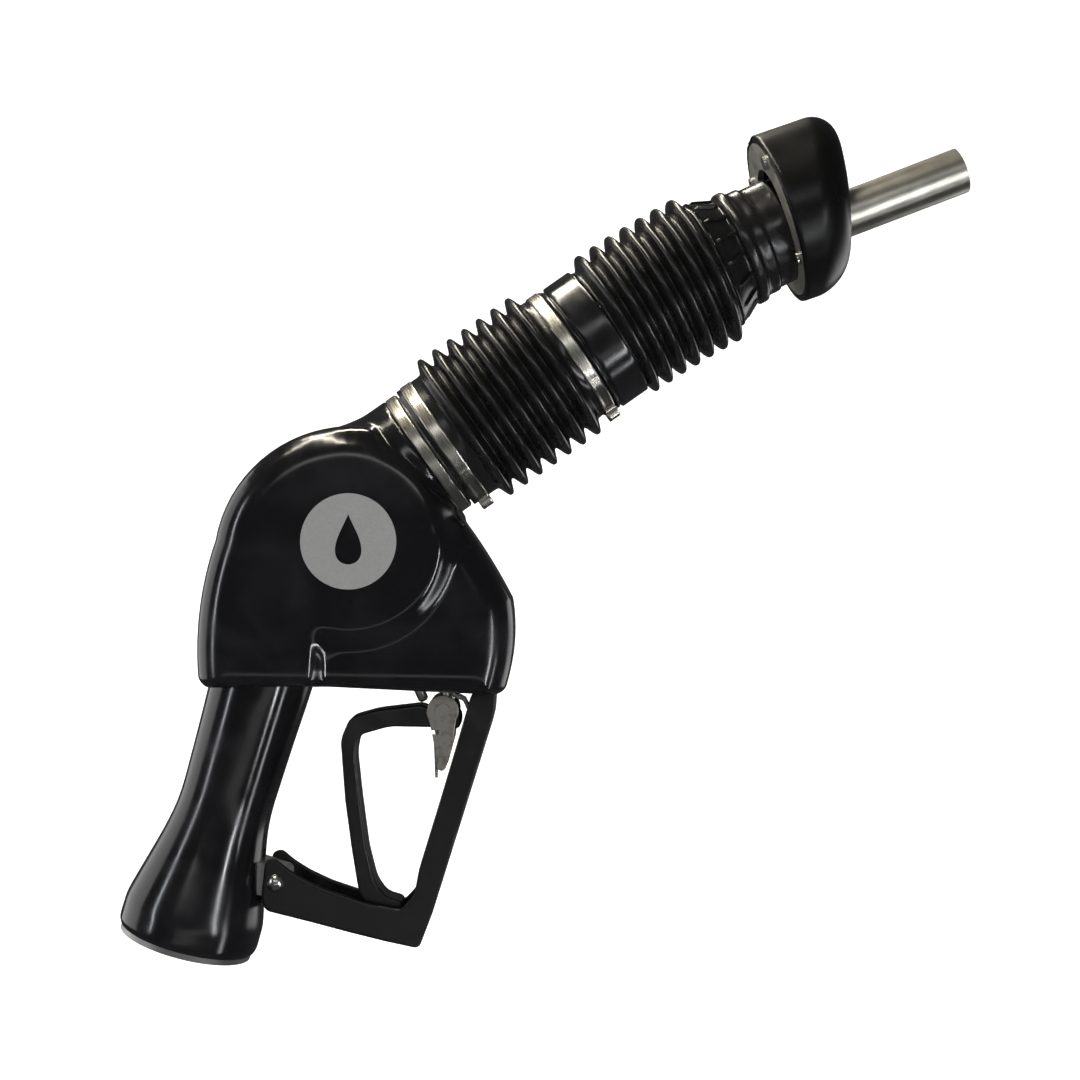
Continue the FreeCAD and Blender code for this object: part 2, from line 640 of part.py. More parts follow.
def main_valve():
    """The main valve, which lifts off its seat when the lever pushes its stem."""
    node(tube(STEM, "seat_radius", "seat_bore", "seat_foot", "seat_station - 0.05"), "main_seat")
    back = "seat_station + poppet_back"
    face = "seat_station + seal_thickness"
    hub = "3"
    node(tube(STEM, "seal_radius", "stem_radius", "seat_station", face), "main_seal")
    poppet = turned(STEM, [("0", face), ("poppet_radius", face), ("poppet_radius", back), (hub, back),
                           (hub, f"{back} + 7"), ("0", f"{back} + 7")])
    node(poppet, "main_poppet")
    stem = turned(STEM, [("0", "stem_foot"), ("1.2", "stem_foot"), ("stem_radius", "stem_foot + 1"),
                         ("stem_radius", face), ("0", face)])
    node(stem, "valve_stem")
    gland = tube(STEM, "gland_radius", "stem_radius + running", "gland_start", "gland_end")
    node(gland, "stem_gland")
    end = "seat_station + cage_length"
    cage = turned(STEM, [("cage_bore", "seat_station"), ("cage_radius", "seat_station"), ("cage_radius", end),
                         ("0", end), ("0", f"{end} - cage_top"), ("cage_bore", f"{end} - cage_top")])
    windows = []
    for wide, deep in ((20, 5), (5, 20)):
        window = block((f"-{wide}", f"-{deep}", "0"), (f"{wide}", f"{deep}", "20"))
        window.Placement = shifted(STEM, x=-wide, y=-deep, z=size("seat_station + 8"))
        windows.append(window)
    node(cut(cage, *windows), "valve_cage")
    node(spring(STEM, "7.5", "0.8", f"{back} + 0.05", f"{end} - cage_top - 0.05", "6"), "main_spring")


# Trip plunger and automatic shut-off.

def trip_parts():
    """The trip plunger that carries the lever, and the diaphragm that lets it drop."""
    bar = turned(PLUNGER, [("0", "lever_z - 4.3"), ("2.4", "lever_z - 4.3"),
                           ("plunger_radius", "lever_z - 3"), ("plunger_radius", "plunger_top"),
                           ("pull_pin_radius + 0.1", "plunger_top"),
                           ("pull_pin_radius + 0.1", "plunger_top - 14"), ("0", "plunger_top - 14")])
    eye = rod(LEVER_PIN, "lever_pin_radius + running", "-6", "6")
    frame = shifted(PLUNGER, z=size("plunger_top - 5"))
    def cross_hole(turn):
        spun = frame.multiply(Placement(Vector(), Rotation(Vector(0, 0, 1), turn)))
        sideways = spun.multiply(Placement(Vector(), Rotation(Vector(0, 1, 0), 90)))
        return rod(sideways, "roller_radius + 0.1", "0", "5")
    holes = [cross_hole(turn) for turn in (30, 150, 270)]
    node(cut(bar, eye, *holes), "trip_plunger")
    rollers = ring_of(3, "2.28", frame, lambda place: ball(place, "roller_radius", "0"), first=30)
    node(rollers, "trip_rollers")
    node(tube(PLUNGER, "guide_radius", "plunger_radius + running", "recess_top - 0.5", "guide_top"),
         "plunger_guide")
    node(rod(PLUNGER, "pull_pin_radius", "plunger_top - 8", "diaphragm_z + 2.6"), "latch_pin")
    above = "diaphragm_z + diaphragm_thickness"
    node(tube(PLUNGER, "diaphragm_radius", "pull_pin_radius", "diaphragm_z", above), "diaphragm")
    node(tube(PLUNGER, "8.5", "pull_pin_radius", above, f"{above} + 1"), "diaphragm_plate")
    rim = f"{above} + 0.1"
    bore = "diaphragm_radius - diaphragm_cover_wall"
    top = "diaphragm_cover_top"
    ceiling = "diaphragm_cover_top - diaphragm_cover_wall"
    cover = turned(PLUNGER, [(bore, rim), ("diaphragm_radius", rim), ("diaphragm_radius", top),
                             ("0", top), ("0", ceiling), (bore, ceiling)])
    node(cover, "diaphragm_cover")
    node(spring(PLUNGER, "5.5", "0.5", f"{above} + 1.05", f"{ceiling} - 0.05", "5"), "diaphragm_spring")


# Neck: spout adapter, check valve and vapour valve.

def neck_parts():
    """The adapter that holds the spout, the check valve in it and the vapour valve round it."""
    foot = "adapter_foot"
    adapter = turned(NECK, [("check_seat_radius", foot), ("adapter_foot_radius", foot),
                            ("adapter_foot_radius", "neck_floor"), ("adapter_radius", "neck_floor"),
                            ("adapter_radius", "6"), ("spout_radius", "6"), ("spout_radius", "spout_start"),
                            ("8.5", "spout_start"), ("8.5", f"{foot} + 3"),
                            ("check_seat_radius", f"{foot} + 3")])
    node(adapter, "spout_adapter")
    head = f"{foot} + 3.05"
    node(turned(NECK, [("0", head), ("6.8", head), ("6.8", f"{head} + 2.45"), ("1.5", f"{head} + 2.45"),
                       ("1.5", "2.5"), ("0", "2.5")]), "check_poppet")
    keeper = tube(NECK, "spout_radius - spout_wall", "1.55", "7", "9")
    ways = ring_of(3, "5.4", NECK, lambda place: rod(place, "2.6", "6", "10"))
    node(cut(keeper, ways), "check_keeper")
    node(spring(NECK, "4.2", "0.4", f"{head} + 2.5", "6.95", "6"), "check_spring")
    node(tube(NECK, "neck_bore_radius", "vapour_way_inner", "8", "11"), "vapour_seat")
    bore = "adapter_radius + 0.08"
    valve = turned(NECK, [(bore, "-5"), ("sleeve_radius", "-5"), ("sleeve_radius", "5"),
                          ("sleeve_flange_radius", "5"), ("sleeve_flange_radius", "6.4"),
                          ("sleeve_radius", "6.4"), ("sleeve_radius", "20"), (bore, "20")])
    node(valve, "vapour_valve")
    node(tube(NECK, "sleeve_flange_radius", "sleeve_radius", "6.4", "7.95"), "vapour_seal")
    node(spring(NECK, "18.6", "0.7", "neck_floor + 0.05", "4.95", "3"), "vapour_spring")


# Bellows, collar and clamps.

def ear(frame, radius, start, end):
    """Make the pinched ear of a stepless clamp, on its lower side towards the viewer."""
    place = frame.multiply(Placement(Vector(), Rotation(Vector(0, 0, 1), -24)))
    made = block(("0", "-3.6", "0"), ("3.4", "3.6", f"({end}) - ({start}) - 0.6"))
    made.Placement = shifted(place, x=size(radius) - 0.3, y=-3.6, z=size(start) + 0.3)
    return made


def rear_stage():
    """The bare collar, and the rear bellows with its clamp and spring."""
    node(tube(NECK, "collar_radius", "spigot_radius", "-collar_half", "collar_half"), "neck_collar")
    start = "clamp_start"
    end = "clamp_start + clamp_length"
    outer = "cuff_radius + clamp_thickness"
    node(joined(tube(NECK, outer, "cuff_radius", start, end), ear(NECK, outer, start, end)), "rear_clamp")
    rear = bellows(NECK, "first_ridge", "ridge_pitch", "ridge_radius", "valley_radius",
                   "collar_half + 0.8", "mid_cuff_end", "cuff_radius")
    bore = rod(NECK, "spigot_radius", "0", "spigot_end")
    node(cut(rear, bore), "rear_bellows")
    node(spring(NECK, "25", "1", "15", "80", "6"), "rear_bellows_spring")


def middle_stage():
    """The clamp and the connector ring between the two bellows."""
    start = "mid_clamp_start"
    end = "mid_clamp_start + clamp_length"
    inner = "cuff_radius + 0.15"
    outer = "cuff_radius + 0.15 + clamp_thickness"
    node(joined(tube(NECK, outer, inner, start, end), ear(NECK, outer, start, end)), "middle_clamp")
    ring = turned(NECK, [("27.2", "76"), ("28.8", "76"), ("28.8", "mid_cuff_end + 0.4"),
                         ("ring_radius", "mid_cuff_end + 0.4"), ("ring_radius", "ring_end"),
                         ("29.6", "ring_end"), ("29.6", "86"), ("13.4", "86"), ("13.4", "94"),
                         ("11.6", "94"), ("11.6", "81"), ("27.2", "81")])
    ways = ring_of(8, "21", NECK, lambda place: rod(place, "4.2", "79", "88"))
    node(cut(ring, ways), "connector_ring")


def front_stage():
    """The front bellows and its spring, and the boot that carries the face."""
    end = "front_pitch * (ridge_count - 1) + 4.6"
    front = bellows(FRONT, "0", "front_pitch", "front_ridge_radius", "front_valley_radius",
                    "-7", end, "front_valley_radius")
    ring_room = rod(NECK, "ring_radius + 1", "mid_cuff_end", "ring_end")
    node(cut(front, ring_room), "front_bellows")
    node(spring(FRONT, "22", "1", "-14", "50", "6"), "front_bellows_spring")
    boot = turned(BEAD, [("25.6", "-14.2"), ("29", "-14.2"), ("23.6", "-4.2"), ("bead_radius - 1.6", "-2.6"),
                         ("bead_radius - 1.6", "2.6"), ("23.6", "4.2"), ("23.6", "21"), ("21.4", "21"),
                         ("21.4", "-4"), ("25.6", "-11.4")])
    node(boot, "nose_boot")
    node(tube(BEAD, "bead_radius", "bead_radius - 1.6", "-2.6", "2.6"), "nose_band")


def face_parts():
    """The face that seals against the car, its back plate and four screws."""
    blank = rod(FACE, "face_radius", "0", "face_depth + 30")
    slant = doc.addObject("Part::Box", "slant")
    bind(slant, Length="140", Width="140", Height="60")
    lean = Placement(Vector(0, 0, size("face_depth")), Rotation(Vector(0, 1, 0), size("face_slant")))
    slant.Placement = FACE.multiply(lean).multiply(Placement(Vector(-70, -70, 0), Rotation()))
    wedge = cut(blank, slant)
    doc.recompute()
    picked = []
    centre = FACE.inverse()
    for index, edge in enumerate(wedge.Shape.Edges, start=1):
        middle = centre.multVec(edge.CenterOfGravity)
        if middle.z > 20 and edge.Closed:
            picked.append((index, size("face_round"), size("face_round")))
    rounded = doc.addObject("Part::Fillet", "rounded_face")
    rounded.Base = wedge
    rounded.Edges = picked
    plate_room = rod(FACE, "plate_radius + 0.05", "-1", "plate_thickness")
    hollow = rod(FACE, "30", "plate_thickness - 1", "13")
    hole = rod(SPOUT_FRONT, "face_hole_radius", "20", "110")
    def screw_hole(place):
        return rod(place, "face_screw_radius", "-1", "11")
    screw_holes = ring_of(4, "face_screw_circle", FACE, screw_hole, first=45)
    node(cut(rounded, plate_room, hollow, hole, screw_holes), "face_cup")
    disc = tube(FACE, "plate_radius", "23.4", "0", "plate_thickness")
    boot_room = rod(BEAD, "23.65", "-5", "30")
    node(cut(disc, boot_room, screw_holes), "face_plate")
    def screw(place):
        shank = rod(place, "face_screw_radius", "-0.1", "10.5")
        head = rod(place, "face_screw_head", "-1.6", "0")
        return joined(shank, head)
    node(ring_of(4, "face_screw_circle", FACE, screw, first=45), "face_screws")


# Spout.

def spout():
    """The bent spout tube, with the sensing tube that shuts the nozzle off when its port is covered."""
    shell = bent_tube("spout_radius", "spout_wall", "0", "0", "0")
    downwards = Placement(Vector(), Rotation(Vector(0, 1, 0), 90))
    port = shifted(SPOUT_FRONT, z=size("spout_front - sense_port")).multiply(downwards)
    node(cut(shell, rod(port, "sense_radius", "7", "13")), "spout_tube")
    node(bent_tube("sense_radius", "0.5", "sense_offset", "20", "22"), "sensing_tube")
    bore = "spout_radius - spout_wall"
    rear = "spout_front - tip_ring_start"
    front = "spout_front - tip_ring_end"
    node(turned(SPOUT_FRONT, [("7.6", rear), (bore, rear), (bore, front), ("8.3", front)]), "spout_tip_ring")
    line = shifted(SPOUT_FRONT, x=size("sense_offset"))
    venturi = rod(line, "2.9", "spout_front - 22", f"{rear} - 0.2")
    hollow = rod(line, "1.5", "spout_front - 23", "spout_front - 14")
    node(cut(venturi, hollow, rod(port, "1.5", "6", "12")), "sensing_block")


# Lever, latch and guard.

def lever_parts():
    """The lever, bent from one strap into a loop, its pin and the studs that the latch turns on."""
    outline = [
        ("124.2", "96.2"), ("124.2", "104.6"), ("111", "104.8"), ("107", "107.2"), ("86.6", "104.8"),
        ("74.6", "101.4"),
        ("70.4", "91.6"), ("72.4", "64.7"), ("75.4", "42.5"), ("78.6", "23"), ("83.5", "14.4"),
        ("97", "11.6"), ("98.9", "19.2"), ("90.5", "21.5"), ("85.9", "28"), ("82.2", "42.5"),
        ("79.2", "64.7"), ("77", "85"), ("78.6", "93.4"), ("92.3", "97.3"), ("110", "97"),
    ]
    strap = plate(outline, "lever_half", "1.6")
    latch_eye = rod(LATCH_PIN, "4.4", "-lever_half", "lever_half")
    lever_eye = rod(LEVER_PIN, "4.4", "-lever_half", "lever_half")
    fork = block(("111.8", "-4.6", "lever_z - 10"), ("130", "4.6", "lever_z + 12"))
    pin_hole = rod(LEVER_PIN, "lever_pin_radius", "-lever_half - 2", "lever_half + 2")
    latch_hole = rod(LATCH_PIN, "latch_pin_radius", "-lever_half - 2", "lever_half + 2")
    node(cut(joined(strap, latch_eye, lever_eye), fork, pin_hole, latch_hole), "lever")
    node(rod(LEVER_PIN, "lever_pin_radius", "-lever_half", "lever_half"), "lever_pin")
    outside = Placement(Vector(), Rotation(Vector(1, 0, 0), 180))
    under_head = "latch_inner + latch_sheet + 0.1"
    studs = []
    for frame in (LATCH_PIN, LATCH_PIN.multiply(outside)):
        studs.append(rod(frame, "latch_pin_radius", "4.7", under_head))
        studs.append(rod(frame, "3.2", under_head, f"{under_head} + 0.8"))
    node(joined(*studs), "latch_rivets")


def latch_parts():
    """The hold-open latch, two cheeks joined below by a bar, and the wire beside it."""
    tail = plate([("110", "102.5"), ("122", "101"), ("117.6", "79"), ("116", "77.6"), ("113.4", "78.2")],
                 "latch_inner + latch_sheet", "0.8")
    head = rod(LATCH_PIN, "latch_head_radius", "-latch_inner - latch_sheet", "latch_inner + latch_sheet")
    gap = block(("100", "-latch_inner", "81.5"), ("130", "latch_inner", "120"))
    hole = rod(LATCH_PIN, "latch_pin_radius + running", "-latch_inner - 3", "latch_inner + 3")
    lighten = block(("100", "-latch_inner", "70"), ("130", "-1.6", "84"))
    lighten_far = block(("100", "1.6", "70"), ("130", "latch_inner", "84"))
    bar = rod(across("115.3", "79.6"), "1.2", "-latch_inner - latch_sheet", "latch_inner + latch_sheet")
    blank = joined(cut(joined(tail, head), gap, hole, lighten, lighten_far), bar)
    node(blank, "hold_open_latch")
    top = Vector(112.6, -7.2, 93.4)
    foot = Vector(113.4, -7.2, 74.6)
    wire = rod(Placement(foot, Rotation(Vector(0, 0, 1), top - foot)), "0.7", "0", str((top - foot).Length))
    foot_pin = rod(across("112.6", "92.6"), "0.55", "-latch_inner", "-7.0")
    node(joined(wire, foot_pin), "latch_wire")


def guard_parts():
    """The guard, a channel from the grip round to the body's toe, its rivet and the latch's catch strip."""
    outline = [
        ("140.2", "107"), ("139.4", "102.9"), ("111.9", "15.2"), ("105.8", "-0.8"), ("91.2", "2.3"),
        ("74.4", "6.5"), ("57.6", "11"), ("37.6", "16"), ("35.6", "21"), ("37.4", "38"), ("41.6", "39.6"),
        ("47.6", "34.6"), ("54.6", "30.2"), ("64.9", "25.4"), ("84", "19"), ("97.5", "16.4"),
        ("103.6", "23"), ("105.7", "34.4"), ("115.2", "65.4"), ("121.8", "87.5"), ("127.6", "107"),
    ]
    blank = plate(outline, "guard_half", "2")
    post = plate([("139.2", "102"), ("142", "112.3"), ("129", "112.6"), ("126.6", "102")], "guard_half")
    channel = plate([("137", "113"), ("135.2", "102.9"), ("108.6", "18"), ("103.8", "2.8"), ("91.6", "5.4"),
                     ("75", "9.6"), ("58.3", "14.1"), ("30", "21.5"), ("30", "60"), ("110", "113")],
                    "guard_inner")
    handle_room = turned(INLET, [("0", "0")] + [("flare_radius + 0.2", "0")] + flared("-0.2")[1:]
                         + [("0", "handle_length")])
    rivet_hole = rod(RIVET, "rivet_radius", "-guard_half - 2", "guard_half + 2")
    node(cut(joined(blank, post), channel, handle_room, rivet_hole), "guard")
    shank = rod(RIVET, "rivet_radius", "-guard_half", "guard_half")
    def dome(side):
        place = shifted(RIVET, z=side * (size("guard_half") - 2.2))
        return cut(ball(place, "4.4", "0"), block(("20", "-guard_half", "0"), ("60", "guard_half", "60")))
    node(joined(shank, dome(-1), dome(1)), "guard_rivet")
    outline = [
        ("120.5", "110.6"), ("125", "108.6"), ("127.2", "104"), ("127", "101"), ("121.8", "82.5"),
        ("119.4", "79"), ("119.4", "75.8"), ("121.4", "76.6"), ("122.8", "81.8"), ("128.2", "100.6"),
        ("128.5", "104.5"), ("126", "109.6"), ("120.9", "112.2"),
    ]
    strip = plate(outline, "5.5", "0.3")
    node(cut(strip, rod(PLUNGER, "plunger_radius + 0.5", "lever_z", "recess_top")), "catch_strip")


body_casting()
body_cover()
hand_grip_cover()
body_cap()
emblem()
inlet_parts()
main_valve()
trip_parts()
neck_parts()
rear_stage()
middle_stage()
front_stage()
face_parts()
spout()
lever_parts()
latch_parts()
guard_parts()
doc.recompute()

for thing in doc.Objects:
    if "Invalid" in thing.State or "Error" in thing.State:
        raise RuntimeError(f"{thing.Name} ({thing.Label}) failed to build: {thing.State}")
for thing in NODES:
    if thing.Shape.isNull() or not thing.Shape.isValid():
        raise RuntimeError(f"{thing.Label} has no valid shape")

os.makedirs("parts", exist_ok=True)
for thing in NODES:
    thing.Shape.exportStep(f"parts/{thing.Label}.step")
    box = thing.Shape.BoundBox
    print(f"{thing.Label:22s} solids {len(thing.Shape.Solids):2d} volume {thing.Shape.Volume:10.1f}  "
          f"x {box.XMin:6.1f}..{box.XMax:6.1f}  y {box.YMin:6.1f}..{box.YMax:6.1f}  "
          f"z {box.ZMin:6.1f}..{box.ZMax:6.1f}")
print(len(NODES), "pieces")
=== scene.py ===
"""Looks of the fuel nozzle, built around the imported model. Lengths are in millimetres up to each mesh."""
import json
import math

import bmesh
import bpy
import numpy as np
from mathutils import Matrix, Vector


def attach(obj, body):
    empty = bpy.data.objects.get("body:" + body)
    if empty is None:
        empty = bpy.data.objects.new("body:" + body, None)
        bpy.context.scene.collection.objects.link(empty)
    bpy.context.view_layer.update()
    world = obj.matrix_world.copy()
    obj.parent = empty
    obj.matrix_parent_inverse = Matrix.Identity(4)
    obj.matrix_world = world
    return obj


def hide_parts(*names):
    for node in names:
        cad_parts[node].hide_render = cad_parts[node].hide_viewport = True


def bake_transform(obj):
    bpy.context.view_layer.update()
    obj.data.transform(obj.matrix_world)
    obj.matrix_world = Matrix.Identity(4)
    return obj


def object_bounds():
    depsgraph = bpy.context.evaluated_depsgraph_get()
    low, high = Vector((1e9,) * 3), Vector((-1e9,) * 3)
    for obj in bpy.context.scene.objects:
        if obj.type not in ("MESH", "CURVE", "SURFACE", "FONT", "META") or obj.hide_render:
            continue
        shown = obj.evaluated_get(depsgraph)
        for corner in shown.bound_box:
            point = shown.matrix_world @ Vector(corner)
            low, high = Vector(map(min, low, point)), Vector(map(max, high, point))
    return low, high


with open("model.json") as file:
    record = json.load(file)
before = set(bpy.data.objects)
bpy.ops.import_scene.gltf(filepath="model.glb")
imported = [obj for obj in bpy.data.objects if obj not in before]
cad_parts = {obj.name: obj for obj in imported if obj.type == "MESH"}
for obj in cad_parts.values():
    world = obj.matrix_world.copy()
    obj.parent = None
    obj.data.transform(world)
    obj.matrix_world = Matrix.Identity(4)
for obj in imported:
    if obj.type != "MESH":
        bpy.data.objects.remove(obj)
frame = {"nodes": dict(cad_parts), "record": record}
CAD_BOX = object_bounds()
NODES = frame["nodes"]
RECORD = frame["record"]
MM = 0.001


# Axes in the plane of symmetry: a centre (x, z) and the rise above the horizontal, in degrees.

class Axis:
    """A straight axis in the plane of symmetry, with local coordinates round it."""

    def __init__(self, x, z, rise):
        self.x = x
        self.z = z
        self.rise = rise
        self.cos = math.cos(math.radians(rise))
        self.sin = math.sin(math.radians(rise))

    def along(self, x, z):
        """Return how far points lie along the axis."""
        return (x - self.x) * self.cos + (z - self.z) * self.sin

    def above(self, x, z):
        """Return how far points lie above the axis, in the plane of symmetry."""
        return (z - self.z) * self.cos - (x - self.x) * self.sin

    def point(self, station, height=0):
        """Return the (x, z) of a point by its place along and above the axis."""
        x = self.x + station * self.cos - height * self.sin
        z = self.z + station * self.sin + height * self.cos
        return x, z


HANDLE = Axis(0, 0, 73.7)
NECK = Axis(109.5, 219.8, 34.9)
FACE = Axis(265.8, 324.8, 19.1)
BOSS_X, BOSS_Z = 77, 180
SPOUT_CROSSING = 138.2
SPOUT_BEND = 14
SPOUT = Axis(*NECK.point(SPOUT_CROSSING), NECK.rise - SPOUT_BEND)


# Materials. Each is a node tree over object coordinates. A noise's scale is in features per metre, and a
# bump's distance is in metres.

class Look:
    """A material under construction: a Principled shader and helpers that add nodes to it."""

    def __init__(self, name, colour, roughness, metallic=0.0, **sockets):
        self.material = bpy.data.materials.new(name)
        self.material.use_nodes = True
        self.nodes = self.material.node_tree.nodes
        self.links = self.material.node_tree.links
        self.shader = self.nodes["Principled BSDF"]
        self.shader.inputs["Base Color"].default_value = (*colour, 1)
        self.shader.inputs["Roughness"].default_value = roughness
        self.shader.inputs["Metallic"].default_value = metallic
        for socket, value in sockets.items():
            self.shader.inputs[socket.replace("_", " ")].default_value = value
        self.place = self.nodes.new("ShaderNodeTexCoord").outputs["Object"]
        self.height = None

    def stretched(self, scale, rise=None):
        """Return coordinates scaled on each axis, turned first so that Z follows a rise in the XZ plane."""
        mapping = self.nodes.new("ShaderNodeMapping")
        mapping.inputs["Scale"].default_value = scale
        source = self.place
        if rise is not None:
            turn = self.nodes.new("ShaderNodeVectorRotate")
            turn.rotation_type = "AXIS_ANGLE"
            turn.inputs["Axis"].default_value = (0, 1, 0)
            turn.inputs["Angle"].default_value = math.radians(rise - 90)
            self.links.new(source, turn.inputs["Vector"])
            source = turn.outputs["Vector"]
        self.links.new(source, mapping.inputs["Vector"])
        return mapping.outputs["Vector"]

    def noise(self, scale, detail=3.0, where=None, distortion=0.0):
        """Return a noise between 0 and 1 with features about 1 / scale metres apart."""
        made = self.nodes.new("ShaderNodeTexNoise")
        made.inputs["Scale"].default_value = scale
        made.inputs["Detail"].default_value = detail
        made.inputs["Distortion"].default_value = distortion
        self.links.new(where or self.place, made.inputs["Vector"])
        return made.outputs["Fac"]

    def ranged(self, value, low, high, start=0.3, end=0.7):
        """Return a value spread from low to high as its source goes from start to end."""
        made = self.nodes.new("ShaderNodeMapRange")
        for socket, number in (("From Min", start), ("From Max", end), ("To Min", low), ("To Max", high)):
            made.inputs[socket].default_value = number
        self.links.new(value, made.inputs["Value"])
        return made.outputs["Result"]

    def mixed(self, factor, colour_a, colour_b):
        """Return a colour between two, by a factor."""
        made = self.nodes.new("ShaderNodeMix")
        made.data_type = "RGBA"
        self.links.new(factor, made.inputs["Factor"])
        for socket, colour in (("A", colour_a), ("B", colour_b)):
            target = [s for s in made.inputs if s.name == socket and s.type == "RGBA"][0]
            if isinstance(colour, tuple):
                target.default_value = (*colour, 1)
            else:
                self.links.new(colour, target)
        return [s for s in made.outputs if s.type == "RGBA"][0]

    def colour(self, value):
        """Drive the base colour."""
        self.links.new(value, self.shader.inputs["Base Color"])

    def roughness(self, value):
        """Drive the roughness."""
        self.links.new(value, self.shader.inputs["Roughness"])

    def bump(self, value, distance, strength=1.0):
        """Raise the surface by a value times a distance in metres, over any bump given before."""
        made = self.nodes.new("ShaderNodeBump")
        made.inputs["Distance"].default_value = distance
        made.inputs["Strength"].default_value = strength
        self.links.new(value, made.inputs["Height"])
        if self.height:
            self.links.new(self.height, made.inputs["Normal"])
        self.height = made.outputs["Normal"]
        self.links.new(self.height, self.shader.inputs["Normal"])


def dipped_vinyl():
    """Glossy black dip coating: a faint orange peel, smudges and fine dust."""
    look = Look("dipped_vinyl", (0.006, 0.006, 0.007), 0.14, Specular_IOR_Level=0.5)
    smudge = look.noise(38, 4, distortion=0.6)
    look.roughness(look.ranged(smudge, 0.1, 0.24))
    dulled = look.ranged(smudge, 0, 1, 0.45, 0.8)
    look.colour(look.mixed(dulled, (0.005, 0.005, 0.006), (0.011, 0.011, 0.013)))
    look.bump(look.noise(45, 1), 0.00006)
    look.bump(look.noise(900, 2), 0.000002)
    return look.material


def moulded_rubber(name="moulded_rubber", low=0.16, high=0.34, tone=0.008, specular=0.45):
    """Black bellows rubber: semi-gloss, with dust in patches and a fine mould texture."""
    look = Look(name, (tone, tone, tone), 0.25, Specular_IOR_Level=specular)
    patch = look.noise(70, 5, distortion=0.4)
    speck = look.noise(1600, 2)
    look.roughness(look.ranged(patch, low, high))
    dust = look.ranged(speck, 0, 1, 0.72, 0.84)
    look.colour(look.mixed(dust, (tone, tone, tone), (tone * 6, tone * 5.8, tone * 5.4)))
    look.bump(look.noise(420, 3), 0.000005)
    return look.material


def glossy_plastic():
    """Injection-moulded black plastic."""
    look = Look("glossy_plastic", (0.007, 0.007, 0.008), 0.16)
    look.roughness(look.ranged(look.noise(90, 4), 0.12, 0.26))
    look.bump(look.noise(700, 2), 0.000008)
    return look.material


def satin_coating():
    """Satin black coating on steel: a fine grain, rubbed brighter in places."""
    look = Look("satin_coating", (0.006, 0.006, 0.0065), 0.38)
    grain = look.noise(2600, 2)
    rub = look.noise(60, 5, distortion=0.8)
    look.roughness(look.ranged(rub, 0.28, 0.46))
    look.colour(look.mixed(look.ranged(rub, 0, 1, 0.55, 0.85), (0.005, 0.005, 0.0055), (0.016, 0.015, 0.014)))
    look.bump(grain, 0.00001)
    return look.material


def brushed_steel(name, colour, rise, low=0.22, high=0.4, round_axis=True):
    """Stainless steel with brush lines round its axis, and a faint waviness."""
    look = Look(name, colour, 0.3, 1.0)
    lines = look.stretched((140, 140, 5200) if round_axis else (3600, 3600, 60), rise)
    brush = look.noise(1, 4, lines)
    tint = look.noise(120, 3)
    look.roughness(look.ranged(brush, low, high))
    darker = tuple(c * 0.78 for c in colour)
    look.colour(look.mixed(look.ranged(tint, 0, 1, 0.35, 0.7), darker, colour))
    look.bump(brush, 0.000012)
    look.bump(look.noise(60, 1), 0.00012)
    return look.material


def worn_steel():
    """Grey stamped steel with fine scratches and a brownish film in patches."""
    look = Look("worn_steel", (0.44, 0.42, 0.38), 0.36, 0.9)
    film = look.noise(260, 5, distortion=1.0)
    scratch = look.noise(1, 3, look.stretched((500, 500, 4200), 20))
    look.colour(look.mixed(look.ranged(film, 0, 1, 0.5, 0.85), (0.44, 0.42, 0.38), (0.2, 0.15, 0.11)))
    look.roughness(look.ranged(scratch, 0.3, 0.52))
    look.bump(scratch, 0.00001)
    return look.material


def bright_plate():
    """Bright zinc plating."""
    look = Look("bright_plate", (0.66, 0.65, 0.62), 0.2, 1.0)
    look.roughness(look.ranged(look.noise(500, 4), 0.1, 0.32))
    look.bump(look.noise(260, 3), 0.00003)
    return look.material


def grey_zinc():
    """The grey back plate: matt, slightly mottled zinc."""
    look = Look("grey_zinc", (0.2, 0.195, 0.18), 0.5, 0.55)
    mottle = look.noise(190, 5)
    look.colour(look.mixed(look.ranged(mottle, 0, 1), (0.17, 0.165, 0.15), (0.27, 0.26, 0.24)))
    look.roughness(look.ranged(mottle, 0.38, 0.6))
    look.bump(look.noise(1500, 2), 0.00001)
    return look.material


def silver_print():
    """Silver ink."""
    look = Look("silver_print", (0.36, 0.365, 0.37), 0.4, 0.35)
    ink = look.noise(2400, 2)
    look.colour(look.mixed(look.ranged(ink, 0, 1), (0.32, 0.325, 0.33), (0.4, 0.41, 0.415)))
    look.bump(ink, 0.000008)
    return look.material


def turned_brass():
    """Brass with turning lines."""
    look = Look("turned_brass", (0.6, 0.42, 0.17), 0.3, 1.0)
    look.bump(look.noise(1, 3, look.stretched((200, 200, 4000), 35)), 0.00001)
    look.roughness(look.ranged(look.noise(300, 3), 0.22, 0.4))
    return look.material


def cast_alloy():
    """Sand-cast aluminium."""
    look = Look("cast_alloy", (0.42, 0.42, 0.41), 0.45, 1.0)
    grain = look.noise(1300, 4)
    look.roughness(look.ranged(grain, 0.35, 0.6))
    look.bump(grain, 0.00006)
    return look.material


